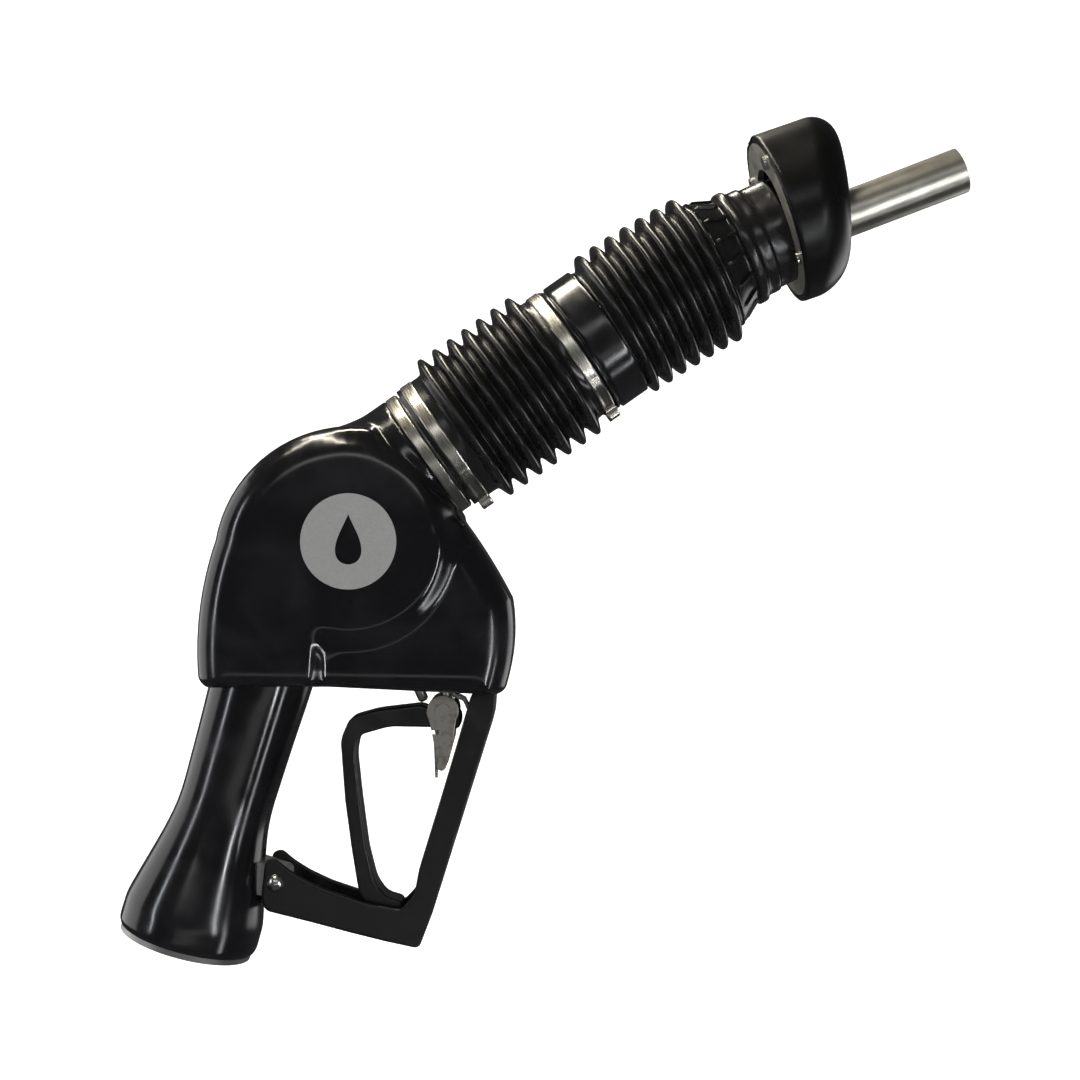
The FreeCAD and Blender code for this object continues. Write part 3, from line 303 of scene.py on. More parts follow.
STEEL = (0.6, 0.58, 0.51)
LOOKS = {
    "cast_metal": cast_alloy(),
    "black_vinyl": dipped_vinyl(),
    "black_rubber": moulded_rubber(),
    "black_plastic": glossy_plastic(),
    "stainless": brushed_steel("spout_steel", STEEL, SPOUT.rise, 0.3, 0.42, round_axis=False),
    "spring_steel": brushed_steel("spring_steel", (0.35, 0.35, 0.35), 35),
    "plated_steel": bright_plate(),
    "black_coated_steel": satin_coating(),
    "brass": turned_brass(),
    "grey_plate": grey_zinc(),
    "silver_print": silver_print(),
}
CLAMP_STEEL = brushed_steel("clamp_steel", (0.56, 0.535, 0.47), NECK.rise, 0.2, 0.36)
FACE_RUBBER = moulded_rubber("face_rubber", 0.26, 0.38, 0.004, 0.25)
LATCH_STEEL = worn_steel()


def dress_nodes():
    """Give each carried-over CAD node the look of its slot in the record."""
    slots = {part["node"]: part["material_slot"] for part in RECORD["subparts"]}
    special = {"latch_rivets": LATCH_STEEL}
    for name, thing in NODES.items():
        thing.data.materials.clear()
        thing.data.materials.append(special.get(name, LOOKS[slots[name]]))
        for face in thing.data.polygons:
            face.material_index = 0


# Meshes. The sculpted pieces come from distance functions, which are negative inside the piece.

def add_mesh(name, points, faces, material):
    """Make a smooth mesh object from points in millimetres, turned right side out."""
    mesh = bpy.data.meshes.new(name)
    mesh.from_pydata((np.asarray(points, float) * MM).tolist(), [], [list(map(int, f)) for f in faces])
    closed = bmesh.new()
    closed.from_mesh(mesh)
    if closed.calc_volume(signed=True) < 0:
        mesh.flip_normals()
    closed.free()
    mesh.materials.append(material)
    mesh.polygons.foreach_set("use_smooth", [True] * len(mesh.polygons))
    mesh.update()
    thing = bpy.data.objects.new(name, mesh)
    bpy.context.scene.collection.objects.link(thing)
    return thing


def settle(thing, body, slot, *nodes):
    """Let a piece ride on a body and stand for CAD nodes, which are hidden. The slot is not used."""
    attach(thing, body)
    if nodes:
        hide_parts(*nodes)


def smooth_min(a, b, blend):
    """Return the smaller of two distances, rounded over where they are close."""
    mix = np.clip(0.5 + 0.5 * (b - a) / blend, 0, 1)
    return b + (a - b) * mix - blend * mix * (1 - mix)


def smooth_max(a, b, blend):
    """Return the larger of two distances, rounded over where they are close."""
    return -smooth_min(-a, -b, blend)


def round_corner(a, b, radius):
    """Return the distance to where two surfaces meet in a convex corner of that radius."""
    inner = np.minimum(np.maximum(a, b) + radius, 0)
    outer = np.hypot(np.maximum(a + radius, 0), np.maximum(b + radius, 0))
    return inner + outer - radius


def outline_distance(corners):
    """Return a function that gives the signed distance from an outline of (x, z) corners."""
    points = np.array(corners, float)
    ahead = np.roll(points, -1, axis=0)

    def distance(x, z):
        nearest = None
        inside = None
        for (ax, az), (bx, bz) in zip(points, ahead):
            ex, ez = bx - ax, bz - az
            wx, wz = x - ax, z - az
            t = np.clip((wx * ex + wz * ez) / (ex * ex + ez * ez), 0, 1)
            gap = (wx - ex * t) ** 2 + (wz - ez * t) ** 2
            nearest = gap if nearest is None else np.minimum(nearest, gap)
            crosses = ((az > z) != (bz > z)) & (wx < wz * ex / (ez if ez else 1e-9))
            inside = crosses if inside is None else inside ^ crosses
        return np.where(inside, -1, 1) * np.sqrt(nearest)

    return distance


def arc(start, middle, end, count=14):
    """Return points on the arc through three points, without its last point."""
    (ax, az), (bx, bz), (cx, cz) = start, middle, end
    d = 2 * (ax * (bz - cz) + bx * (cz - az) + cx * (az - bz))
    sa, sb, sc = ax * ax + az * az, bx * bx + bz * bz, cx * cx + cz * cz
    ox = (sa * (bz - cz) + sb * (cz - az) + sc * (az - bz)) / d
    oz = (sa * (cx - bx) + sb * (ax - cx) + sc * (bx - ax)) / d
    radius = math.hypot(ax - ox, az - oz)
    first = math.atan2(az - oz, ax - ox)
    half = (math.atan2(bz - oz, bx - ox) - first + math.pi) % (2 * math.pi) - math.pi
    rest = (math.atan2(cz - oz, cx - ox) - first - half + math.pi) % (2 * math.pi) - math.pi
    sweep = half + rest
    turns = [first + sweep * i / count for i in range(count)]
    return [(ox + radius * math.cos(turn), oz + radius * math.sin(turn)) for turn in turns]


def surface_net(distance, low, high, step):
    """Return the points and faces of the surface where a distance function is zero, in a box."""
    axes = [np.arange(a - step, b + 2 * step, step) for a, b in zip(low, high)]
    sparse = np.meshgrid(*axes, indexing="ij", sparse=True)
    value = np.broadcast_to(distance(*sparse), [len(a) for a in axes]).astype(np.float32)
    cells = tuple(n - 1 for n in value.shape)
    total = np.zeros(cells + (3,), np.float32)
    count = np.zeros(cells, np.float32)
    crossings = []
    for axis in range(3):
        across = [i for i in range(3) if i != axis]
        first = np.take(value, range(0, value.shape[axis] - 1), axis)
        second = np.take(value, range(1, value.shape[axis]), axis)
        crossed = (first < 0) != (second < 0)
        crossings.append((axis, across, crossed, first < 0))
        share = np.where(crossed, first / np.where(crossed, first - second, 1), 0)
        for du in (0, 1):
            for dw in (0, 1):
                window = [slice(None)] * 3
                window[across[0]] = slice(du, du + cells[across[0]])
                window[across[1]] = slice(dw, dw + cells[across[1]])
                hit = crossed[tuple(window)]
                count += hit
                total[..., axis] += np.where(hit, share[tuple(window)], 0)
                total[..., across[0]] += hit * du
                total[..., across[1]] += hit * dw
    used = count > 0
    index = np.full(cells, -1, np.int64)
    index[used] = np.arange(used.sum())
    corner = np.argwhere(used)
    origin = np.array([a[0] for a in axes])
    points = origin + (corner + total[used] / count[used][:, None]) * step
    faces = []
    for axis, across, crossed, starts_inside in crossings:
        u, w = across
        trimmed = [slice(None)] * 3
        trimmed[u] = slice(1, -1)
        trimmed[w] = slice(1, -1)
        place = np.argwhere(crossed[tuple(trimmed)])
        flip = starts_inside[tuple(trimmed)][crossed[tuple(trimmed)]]
        place[:, u] += 1
        place[:, w] += 1
        ring = []
        for du, dw in ((1, 1), (0, 1), (0, 0), (1, 0)):
            cell = place.copy()
            cell[:, u] -= du
            cell[:, w] -= dw
            ring.append(index[tuple(cell.T)])
        quads = np.stack(ring, axis=1)
        backwards = flip if axis == 1 else ~flip
        quads[backwards] = quads[backwards][:, ::-1]
        faces.append(quads)
    points = pulled_on(distance, points, step)
    return points, np.concatenate(faces)


def pulled_on(distance, points, step):
    """Move points onto the surface where a distance function is zero."""
    reach = step * 0.05
    for _ in range(4):
        x, y, z = points.T
        here = distance(x, y, z)
        slope = np.stack([
            distance(x + reach, y, z) - distance(x - reach, y, z),
            distance(x, y + reach, z) - distance(x, y - reach, z),
            distance(x, y, z + reach) - distance(x, y, z - reach),
        ], axis=1) / (2 * reach)
        size = np.maximum((slope ** 2).sum(axis=1), 0.2)
        move = slope * (here / size)[:, None]
        length = np.linalg.norm(move, axis=1, keepdims=True)
        points = points - move * np.minimum(1, step * 0.5 / np.maximum(length, 1e-9))
    return points


def sculpted(name, distance, low, high, step, material):
    """Make an object from a distance function."""
    points, faces = surface_net(distance, low, high, step)
    return add_mesh(name, points, faces, material)


def turned(name, axis, profile, material, segments=144):
    """Turn a closed profile of (radius, station) points round an axis."""
    rings = np.array(profile, float)
    turns = np.arange(segments) * 2 * math.pi / segments
    radius = rings[:, 0][:, None]
    station = rings[:, 1][:, None]
    height = radius * np.cos(turns)
    x = axis.x + station * axis.cos - height * axis.sin
    z = axis.z + station * axis.sin + height * axis.cos
    y = radius * np.sin(turns) + 0 * x
    points = np.stack([x, y, z], axis=-1).reshape(-1, 3)
    return add_mesh(name, points, wrapped(len(rings), segments), material)


def wrapped(rings, segments):
    """Return the faces of a grid closed both ways."""
    ring = np.arange(rings)[:, None]
    turn = np.arange(segments)[None, :]
    a = ring * segments + turn
    b = (ring + 1) % rings * segments + turn
    c = (ring + 1) % rings * segments + (turn + 1) % segments
    d = ring * segments + (turn + 1) % segments
    return np.stack([a, d, c, b], axis=-1).reshape(-1, 4)


def eased(corners, radius, count=4):
    """Return a closed profile with each corner rounded by up to a radius."""
    made = []
    total = len(corners)
    for i in range(total):
        before, here, after = (np.array(corners[j % total], float) for j in (i - 1, i, i + 1))
        back, ahead = before - here, after - here
        reach = min(radius, np.linalg.norm(back) * 0.45, np.linalg.norm(ahead) * 0.45)
        first = here + back / np.linalg.norm(back) * reach
        last = here + ahead / np.linalg.norm(ahead) * reach
        for k in range(count + 1):
            t = k / count
            made.append(tuple(first * (1 - t) ** 2 + 2 * here * t * (1 - t) + last * t * t))
    return made


def filled(profile, spacing):
    """Return a closed profile with points added so that none are further apart than a spacing."""
    made = []
    for a, b in zip(profile, profile[1:] + profile[:1]):
        count = max(1, math.ceil(math.dist(a, b) / spacing))
        made += [(a[0] + (b[0] - a[0]) * k / count, a[1] + (b[1] - a[1]) * k / count) for k in range(count)]
    return made


# The body cover and the hand grip.

GRIP = [(30.3, 2.7), (31.3, 5), (31.4, 10), (31.1, 16), (29.3, 24), (26.5, 35), (23.8, 46), (21.7, 57),
        (20.9, 67), (21.1, 80), (21.7, 100), (22.4, 117), (22.8, 131)]
GRIP_WALL = 3
ROUNDEL_RADIUS = 20.7
BODY_HALF = 29
RAISED_HALF = 34.5
NECK_RADIUS = 30.2
COLLAR_HALF = 2.8
STEP_RADIUS = 43
STEP_WIDTH = 11
SIDE_ROUNDING = 15
COLUMN_HEIGHTS = (120, 150, 180, 200)
COLUMN_EDGES = (63, 65, 84, 90)
STEP_BLEND = 9
FOOT_STATIONS = (8, 14, 54, 142)
FOOT_HEIGHTS = (118, 116.3, 117, 112.4)
FOOT_ROUNDING = 4
NECK_ROOT = -34
NECK_BLEND, CREASE_BLEND = 7, 1.5
NECK_BLEND_HALF = 26
RECESS_LEFT, RECESS_RIGHT, RECESS_HALF, RECESS_TOP = 64, 129, 11, 117.4
BODY_STEP, FACE_STEP, LEVER_STEP, GUARD_STEP, LATCH_STEP = 1.2, 1.1, 0.65, 0.75, 0.4


def spline(knots, count):
    """Return points on a smooth curve through knots."""
    knots = np.array(knots, float)
    made = []
    for i in range(len(knots) - 1):
        p0, p1, p2, p3 = (knots[min(max(i + k, 0), len(knots) - 1)] for k in (-1, 0, 1, 2))
        for t in np.arange(count) / count:
            made.append(tuple(0.5 * (2 * p1 + (p2 - p0) * t + (2 * p0 - 5 * p1 + 4 * p2 - p3) * t * t
                                     + (3 * p1 - p0 - 3 * p2 + p3) * t ** 3)))
    made.append(tuple(knots[-1]))
    return made


def body_outline():
    """Return the body's side outline as corners."""
    heel, back, crown = (10.9, 110), (17.3, 180.6), (64.7, 229.4)
    neck_foot, chest, toe = (123.4, 192.2), (147.3, 154.2), (141.8, 108)
    return (arc(heel, (9.6, 142.9), back) + arc(back, (33.9, 212.8), crown)
            + arc(crown, (99.5, 224.5), neck_foot) + arc(neck_foot, (137.5, 171.7), chest)
            + arc(chest, (148, 132.5), toe) + [toe])


def cylinder_along(axis, x, y, z, radius, start, end, rounding):
    """Return the distance to a cylinder on an axis."""
    side = np.hypot(axis.above(x, z), y) - radius
    station = axis.along(x, z)
    ends = np.maximum(start - station, station - end)
    return round_corner(side, ends, rounding)


BODY_EDGE = outline_distance(body_outline())


def body_cover_distance(x, y, z):
    """Return the distance to the cover: wide rounded sides, a raised face, the neck and a flat foot."""
    edge = BODY_EDGE(x, z)
    disc = np.hypot(x - BOSS_X, z - BOSS_Z) - STEP_RADIUS
    column = x - np.interp(z, COLUMN_HEIGHTS, COLUMN_EDGES)
    share = np.clip(0.5 - smooth_min(disc, column, STEP_BLEND) / STEP_WIDTH, 0, 1)
    half = BODY_HALF + (RAISED_HALF - BODY_HALF) * share * share * (3 - 2 * share)
    body = round_corner(edge, np.abs(y) - half, SIDE_ROUNDING)
    neck = cylinder_along(NECK, x, y, z, NECK_RADIUS, NECK_ROOT, -COLLAR_HALF, 1.2)
    near_middle = np.clip(1 - np.abs(y) / NECK_BLEND_HALF, 0, 1)
    body = smooth_min(body, neck, CREASE_BLEND + NECK_BLEND * near_middle)
    body = np.maximum(body, NECK.along(x, z) + COLLAR_HALF)
    foot = np.interp(x, FOOT_STATIONS, FOOT_HEIGHTS) - z
    body = round_corner(body, foot, FOOT_ROUNDING)
    channel_ends = np.maximum(RECESS_LEFT - x, x - RECESS_RIGHT)
    channel = np.maximum(channel_ends, np.maximum(np.abs(y) - RECESS_HALF, z - RECESS_TOP))
    return smooth_max(body, -channel, CREASE_BLEND)


def body_cover():
    """Make the vinyl cover over the valve body, its neck included."""
    cover = sculpted("body_cover_skin", body_cover_distance, (6, -35, 108), (151, 35, 249), BODY_STEP,
                     LOOKS["black_vinyl"])
    settle(cover, "housing", "black_vinyl", "body_cover")


def hand_grip():
    """Make the vinyl sleeve on the handle. Its top runs up into the body cover."""
    outside = spline(GRIP, 6)
    inside = [(r - GRIP_WALL, s) for r, s in reversed(outside)]
    grip = turned("hand_grip_skin", HANDLE, outside + inside, LOOKS["black_vinyl"], 160)
    settle(grip, "housing", "black_vinyl", "hand_grip_cover")


# Collar, clamps and bellows.

def collar():
    """Make the bare metal ring at the end of the neck."""
    bore, outside, chamfer_top = 27.9, 30.25, 29.4
    profile = [(bore, -COLLAR_HALF), (outside, -COLLAR_HALF), (outside, 2), (chamfer_top, COLLAR_HALF),
               (bore, COLLAR_HALF)]
    ring = turned("neck_collar_ring", NECK, filled(eased(profile, 0.35), 0.8), CLAMP_STEEL)
    settle(ring, "housing", "stainless", "neck_collar")


EAR_HEIGHT = 4.2
EAR_HALF = 3.6
EAR_TURN = math.radians(180 - 9)
OVERLAP_START = 26
SLOT_PLACE, SLOT_HALF, SLOT_DEPTH = 13, 6.5, 0.45


def clamp(name, start, inner, body, node):
    """Make a stepless ear clamp: a thin band with an overlap, a pressed slot and a pinched ear."""
    width, thickness, segments = 5.8, 0.65, 360
    stations = np.array([0, 0.25, 0.9, 1.6, 2.1, 2.9, 3.7, 4.2, 4.9, 5.55, width])
    turns = np.arange(segments) * 2 * math.pi / segments
    offset = (turns - EAR_TURN + math.pi) % (2 * math.pi) - math.pi
    arc_length = offset * inner
    share = np.clip((EAR_HALF - np.abs(arc_length)) / 1.1, 0, 1)
    ear = (EAR_HEIGHT - 0.9 * np.exp(-arc_length ** 2)) * share * share * (3 - 2 * share)
    overlap = 0.3 * np.clip((arc_length + OVERLAP_START) / 0.8, 0, 1) * (arc_length < 0)
    slot_along = np.clip((SLOT_HALF - np.abs(arc_length + SLOT_PLACE)) / 0.7, 0, 1)
    bottoms, tops = [], []
    for s in stations:
        edge = min(1, min(s, width - s) / 0.25)
        slot = SLOT_DEPTH * slot_along * (1.6 <= s <= 4.2)
        level = inner + ear + overlap
        tops.append((level + thickness * (0.6 + 0.4 * edge) - slot, start + s + 0 * level))
        bottoms.append((level, start + s + 0 * level))
    rings = tops + bottoms[::-1]
    points = []
    for radius, station in rings:
        height = radius * np.cos(turns)
        x = NECK.x + station * NECK.cos - height * NECK.sin
        z = NECK.z + station * NECK.sin + height * NECK.cos
        points.append(np.stack([x, -radius * np.sin(turns), z], axis=-1))
    faces = wrapped(len(rings), segments)[:, ::-1]
    band = add_mesh(name, np.concatenate(points), faces, CLAMP_STEEL)
    settle(band, body, "stainless", node)


def ridge_height(share):
    """Return how far down a ridge's flank a point lies, 0 on its crest and 1 in the valley."""
    down = max(0, (share - 0.08) / 0.92)
    return (down * down * (3 - 2 * down)) ** 1.25


def bellows_profile(first, pitch, count, ridge, valley, start, end, cuff):
    """Return a bellows' outer (radius, station) line."""
    line = [(cuff, start), (cuff, (start + first - pitch * 0.6) / 2), (cuff, first - pitch * 0.75)]
    steps = 22
    for k in range(count * steps + 1):
        station = first + pitch * (k / steps - 0.5)
        share = abs((k / steps) % 1 - 0.5) * 2
        line.append((ridge - (ridge - valley) * ridge_height(share), station))
    last = first + pitch * (count - 1)
    line += [(cuff, last + pitch * 0.75), (cuff, (end + last + pitch * 0.6) / 2), (cuff, end)]
    return line


def shell_of(line, wall):
    """Return a closed profile from an outer line and a wall thickness."""
    inner = [(r - wall, s) for r, s in line]
    return line + inner[::-1]


RIDGES = 7
BELLOWS_WALL = 1.3


def stretched_between(piece, node):
    """Hide a bellows' CAD node and bake the bellows' placement into its mesh."""
    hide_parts(node)
    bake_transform(piece)


def rear_bellows():
    """Make the bellows between the neck and the middle clamp."""
    line = bellows_profile(20.2, 7.95, RIDGES, 36.8, 30.9, COLLAR_HALF + 0.8, 81.6, 30.75)
    piece = turned("rear_bellows_skin", NECK, shell_of(line, BELLOWS_WALL), LOOKS["black_rubber"], 176)
    stretched_between(piece, "rear_bellows")


# The front path's knots: a station, a centre (x, z) and a rise.
FRONT_PATH = [(-8.4, 187.3, 273.2, 34.9), (0, 194.2, 277.9, 31.6), (15.3, 206.9, 286.2, 30.4),
              (30.5, 219.9, 294.1, 29.0), (45.8, 233.2, 301.6, 27.7), (65.2, 249.5, 311.9, 25.2),
              (95.2, 276.6, 324.7, 25.2)]


def along_front(station):
    """Return the front bellows' centre and rise at a station."""
    knots = np.array(FRONT_PATH)
    return tuple(np.interp(station, knots[:, 0], knots[:, column]) for column in (1, 2, 3))


def swept_rings(name, profile, material, segments=176):
    """Sweep a closed (radius, station) profile's rings along the front path."""
    turns = np.arange(segments) * 2 * math.pi / segments
    points = []
    for radius, station in profile:
        x0, z0, rise = along_front(station)
        turn = math.radians(rise)
        height = radius * np.cos(turns)
        points.append(np.stack([x0 - height * math.sin(turn), radius * np.sin(turns),
                                z0 + height * math.cos(turn)], axis=-1))
    return add_mesh(name, np.concatenate(points), wrapped(len(profile), segments), material)


def front_bellows():
    """Make the bellows between the connector and the nose boot, on the path that sags towards the spout."""
    line = bellows_profile(0, 7.63, RIDGES, 35.2, 29.8, -5.2, 51, 30.1)
    piece = swept_rings("front_bellows_skin", shell_of(line, BELLOWS_WALL), LOOKS["black_rubber"])
    stretched_between(piece, "front_bellows")


def connector():
    """Make the plastic ring between the bellows, which hangs a little low on its clamp."""
    profile = [(29.7, 81.4), (31.1, 81.4), (31.1, 82.6), (30.4, 82.9), (30.4, 83.7), (31.8, 84),
               (31.8, 97.4), (29.7, 97.4)]
    sagging = Axis(*NECK.point(0, -1), NECK.rise)
    ring = turned("connector_band", sagging, filled(eased(profile, 0.4), 1.2), LOOKS["black_plastic"])
    settle(ring, "middle", "black_plastic", "connector_ring")


def nose_boot():
    """Make the boot from the front bellows to the face, with its bead and gussets."""
    line = [(29.6, 50.4), (29.6, 51.6), (27.7, 55), (25.9, 58), (24.6, 60.6), (24.4, 62.2), (25.6, 62.8),
            (26.5, 63.4), (26.6, 65.2), (26.5, 67), (25.6, 67.7), (24.7, 68.3), (24.7, 73.6), (24.2, 74.1),
            (23.6, 74.3), (23.6, 80), (23.6, 86.2)]
    wall, spacing = 2, 1.2
    profile = filled(shell_of(softened(line), wall), spacing)
    boot = swept_rings("nose_boot_skin", profile, LOOKS["black_rubber"])
    settle(boot, "nose", "black_rubber", "nose_boot", "nose_band")
    gussets()


def softened(line):
    """Return an open line with each corner cut back a quarter of the way along its sides."""
    made = [line[0]]
    for i in range(1, len(line) - 1):
        here = np.array(line[i])
        for other in (line[i - 1], line[i + 1]):
            made.append(tuple(here + (np.array(other) - here) * 0.25))
    made.append(line[-1])
    return made


def gussets():
    """Add the triangular gussets moulded on the boot's taper."""
    points, faces = [], []
    count, half = 16, 0.9
    for index in range(count):
        turn = 2 * math.pi * (index + 0.5) / count
        corners = [(29.2, 51.8), (29.4, 54.2), (25.4, 61.9), (24.2, 62), (25.2, 58)]
        base = len(points)
        for side in (-1, 1):
            for radius, station in corners:
                x0, z0, rise = along_front(station)
                slope = math.radians(rise)
                across = half * side * (0.6 if radius > 29 else 1)
                height = radius * math.cos(turn) - across * math.sin(turn)
                wide = radius * math.sin(turn) + across * math.cos(turn)
                points.append((x0 - height * math.sin(slope), wide, z0 + height * math.cos(slope)))
        size = len(corners)
        faces.append([base + k for k in range(size)])
        faces.append([base + size + k for k in reversed(range(size))])
        for k in range(size):
            after = (k + 1) % size
            faces.append([base + after, base + k, base + size + k, base + size + after])
    piece = add_mesh("nose_gussets", points, faces, LOOKS["black_rubber"])
    rounded_edges(piece, 0.35, 3)
    settle(piece, "nose", "black_rubber")


def rounded_edges(thing, width, segments):
    """Bevel an object's sharp edges."""
    bevel = thing.modifiers.new("bevel", "BEVEL")
    bevel.width = width * MM
    bevel.segments = segments
    bevel.limit_method = "ANGLE"
    bevel.angle_limit = math.radians(30)
    bevel.harden_normals = True


# The face.

FACE_RADIUS = 38.7
FACE_ROUNDING = 11
FACE_CENTRE_DEPTH = 33.0
FACE_SLANT = 0.22
FACE_BULGE = 0.0035
FACE_SIDE_BULGE = 0.005
PLATE_RADIUS, PLATE_THICKNESS = 35.5, 3
HOLLOW_RADIUS, HOLLOW_DEPTH = 30, 13
SPOUT_HOLE_RADIUS = 17


def face_distance(x, y, z):
    """Return the distance to the face: a domed wedge, hollow behind, with a hole for the spout."""
    station = FACE.along(x, z)
    height = FACE.above(x, z)
    side = np.hypot(height, y) - FACE_RADIUS
    front = FACE_CENTRE_DEPTH + FACE_SLANT * height - FACE_BULGE * height ** 2 - FACE_SIDE_BULGE * y ** 2
    slope = np.hypot(1, FACE_SLANT - 2 * FACE_BULGE * height)
    blank = round_corner(side, (station - front) / slope, FACE_ROUNDING)
    blank = round_corner(blank, -station, 1)
    plate = np.maximum(np.hypot(height, y) - PLATE_RADIUS, station - PLATE_THICKNESS)
    hollow = round_corner(np.hypot(height, y) - HOLLOW_RADIUS, station - HOLLOW_DEPTH, 3)
    hole = np.hypot(SPOUT.above(x, z), y) - SPOUT_HOLE_RADIUS
    return smooth_max(smooth_max(np.maximum(blank, -plate), -hollow, 1), -hole, 3)


def face():
    """Make the wedge of rubber that seals against the car."""
    low = (255, -39.5, 284)
    high = (317, 39.5, 374)
    cup = sculpted("face_seal", face_distance, low, high, FACE_STEP, FACE_RUBBER)
    settle(cup, "nose", "black_rubber", "face_cup")


# The roundel, the lever, the latch and the guard.

DROP_POINTS = 160
DROP_SIZE = 11


def droplet(size):
    """Return the outline of a drop: a round foot that narrows to a point."""
    made = []
    for k in range(DROP_POINTS):
        turn = 2 * math.pi * k / DROP_POINTS
        made.append((size * 0.75 * math.sin(turn) * math.sin(turn / 2) ** 1.6, size * (0.1 + math.cos(turn))))
    return made


def roundel():
    """Print a plain grey disc with a drop left clear in it."""
    near, far = -RAISED_HALF - 0.3, -RAISED_HALF + 0.3
    hole = droplet(DROP_SIZE)
    turns = [math.atan2(pz, px) for px, pz in hole]
    rim = [(ROUNDEL_RADIUS * math.cos(turn), ROUNDEL_RADIUS * math.sin(turn)) for turn in turns]
    loops = ((rim, near), (rim, far), (hole, far), (hole, near))
    points = [(BOSS_X + px, y, BOSS_Z + pz) for line, y in loops for px, pz in line]
    disc = add_mesh("roundel_disc", points, wrapped(4, len(hole)), LOOKS["silver_print"])
    for polygon in disc.data.polygons:
        polygon.use_smooth = False
    settle(disc, "housing", "silver_print", "emblem_disc")


LEVER = [(124.2, 96.2), (124.2, 104.6), (111, 104.8), (107, 107.2), (86.6, 104.8), (74.6, 101.4),
         (70.4, 91.6), (72.4, 64.7), (75.4, 42.5), (78.6, 23), (83.5, 14.4), (97, 11.6), (98.9, 19.2),
         (90.5, 21.5), (85.9, 28), (82.2, 42.5), (79.2, 64.7), (77, 85), (78.6, 93.4), (92.3, 97.3),
         (110, 97)]
GUARD = [(140.2, 113), (139.4, 102.9), (111.9, 15.2), (105.8, -0.8), (91.2, 2.3), (74.4, 6.5), (57.6, 11),
         (37.6, 16), (35.6, 21), (37.4, 38), (41.6, 39.6), (47.6, 34.6), (54.6, 30.2), (64.9, 25.4), (84, 19),
         (97.5, 16.4), (103.6, 23), (105.7, 34.4), (115.2, 65.4), (121.8, 87.5), (129.2, 113)]
GUARD_TOP = 112.9
GUARD_CHANNEL = [(137, 118), (135.2, 102.9), (108.6, 18), (103.8, 2.8), (91.6, 5.4), (75, 9.6), (58.3, 14.1),
                 (30, 21.5), (30, 60), (110, 118)]
LATCH_TAIL = [(109.6, 104), (110.8, 97), (112.6, 88), (113.6, 78.4), (116, 77.6), (117.6, 79), (121.2, 92),
              (122, 99), (120, 102)]
LEVER_PIN_AT = (119.5, 100.5)
LATCH_PIN_AT = (116.3, 104.5)
RIVET_AT = (42, 28.5)
LATCH_BAR_AT = (115.3, 79.6)
LEVER_HOLE, LATCH_HOLE, RIVET_HOLE = 2.25, 2.05, 2.5
LEVER_HALF, EYE_RADIUS = 7.9, 4.4
FORK_HALF, FORK_START = 4.6, 111.8
GUARD_HALF, CHANNEL_HALF = 12, 9.8
GRIP_GAP = 0.2
HEAD_RADIUS = 7.1
CHEEK_PLACE, CHEEK_HALF = 8.8, 0.6


def round_about(centre, x, z, radius):
    """Return the distance in the XZ plane to a circle about an (x, z) centre."""
    return np.hypot(x - centre[0], z - centre[1]) - radius


def soft_outline(corners, reach):
    """Return an outline with each corner rounded by up to a reach."""
    return outline_distance(eased(corners, reach, 5))


def lever():
    """Make the lever: a strap bent into a loop, with an eye for each pin and a fork round the plunger."""
    edge = soft_outline(LEVER, 3.2)

    def distance(x, y, z):
        side = np.abs(y) - LEVER_HALF
        strap = round_corner(edge(x, z), side, 1.1)
        for pin in (LEVER_PIN_AT, LATCH_PIN_AT):
            strap = smooth_min(strap, round_corner(round_about(pin, x, z, EYE_RADIUS), side, 0.8), 1)
        fork = np.maximum(np.abs(y) - FORK_HALF, FORK_START - x)
        holes = np.minimum(round_about(LEVER_PIN_AT, x, z, LEVER_HOLE),
                           round_about(LATCH_PIN_AT, x, z, LATCH_HOLE))
        return smooth_max(np.maximum(strap, -holes), -fork, 0.5)

    piece = sculpted("lever_strap", distance, (70, -8.2, 10.5), (125.5, 8.2, 110), LEVER_STEP,
                     LOOKS["black_coated_steel"])
    settle(piece, "lever_arm", "black_coated_steel", "lever")


def guard():
    """Make the guard: a channel open on its inside, cut to fit round the grip."""
    edge = soft_outline(GUARD, 2.6)
    channel_edge = soft_outline(GUARD_CHANNEL, 1.5)
    radii, stations = zip(*GRIP)

    def distance(x, y, z):
        blank = round_corner(edge(x, z), np.abs(y) - GUARD_HALF, 0.9)
        blank = np.maximum(blank, z - GUARD_TOP)
        channel = round_corner(channel_edge(x, z), np.abs(y) - CHANNEL_HALF, 0.6)
        reach = np.hypot(HANDLE.above(x, z), y)
        grip = reach - np.interp(HANDLE.along(x, z), stations, radii) - GRIP_GAP
        body = smooth_max(blank, -channel, 0.8)
        return np.maximum(smooth_max(body, -grip, 0.6), -round_about(RIVET_AT, x, z, RIVET_HOLE))

    piece = sculpted("guard_channel", distance, (34, -12.5, -2), (142, 12.5, 114), GUARD_STEP,
                     LOOKS["black_coated_steel"])
    settle(piece, "housing", "black_coated_steel", "guard")


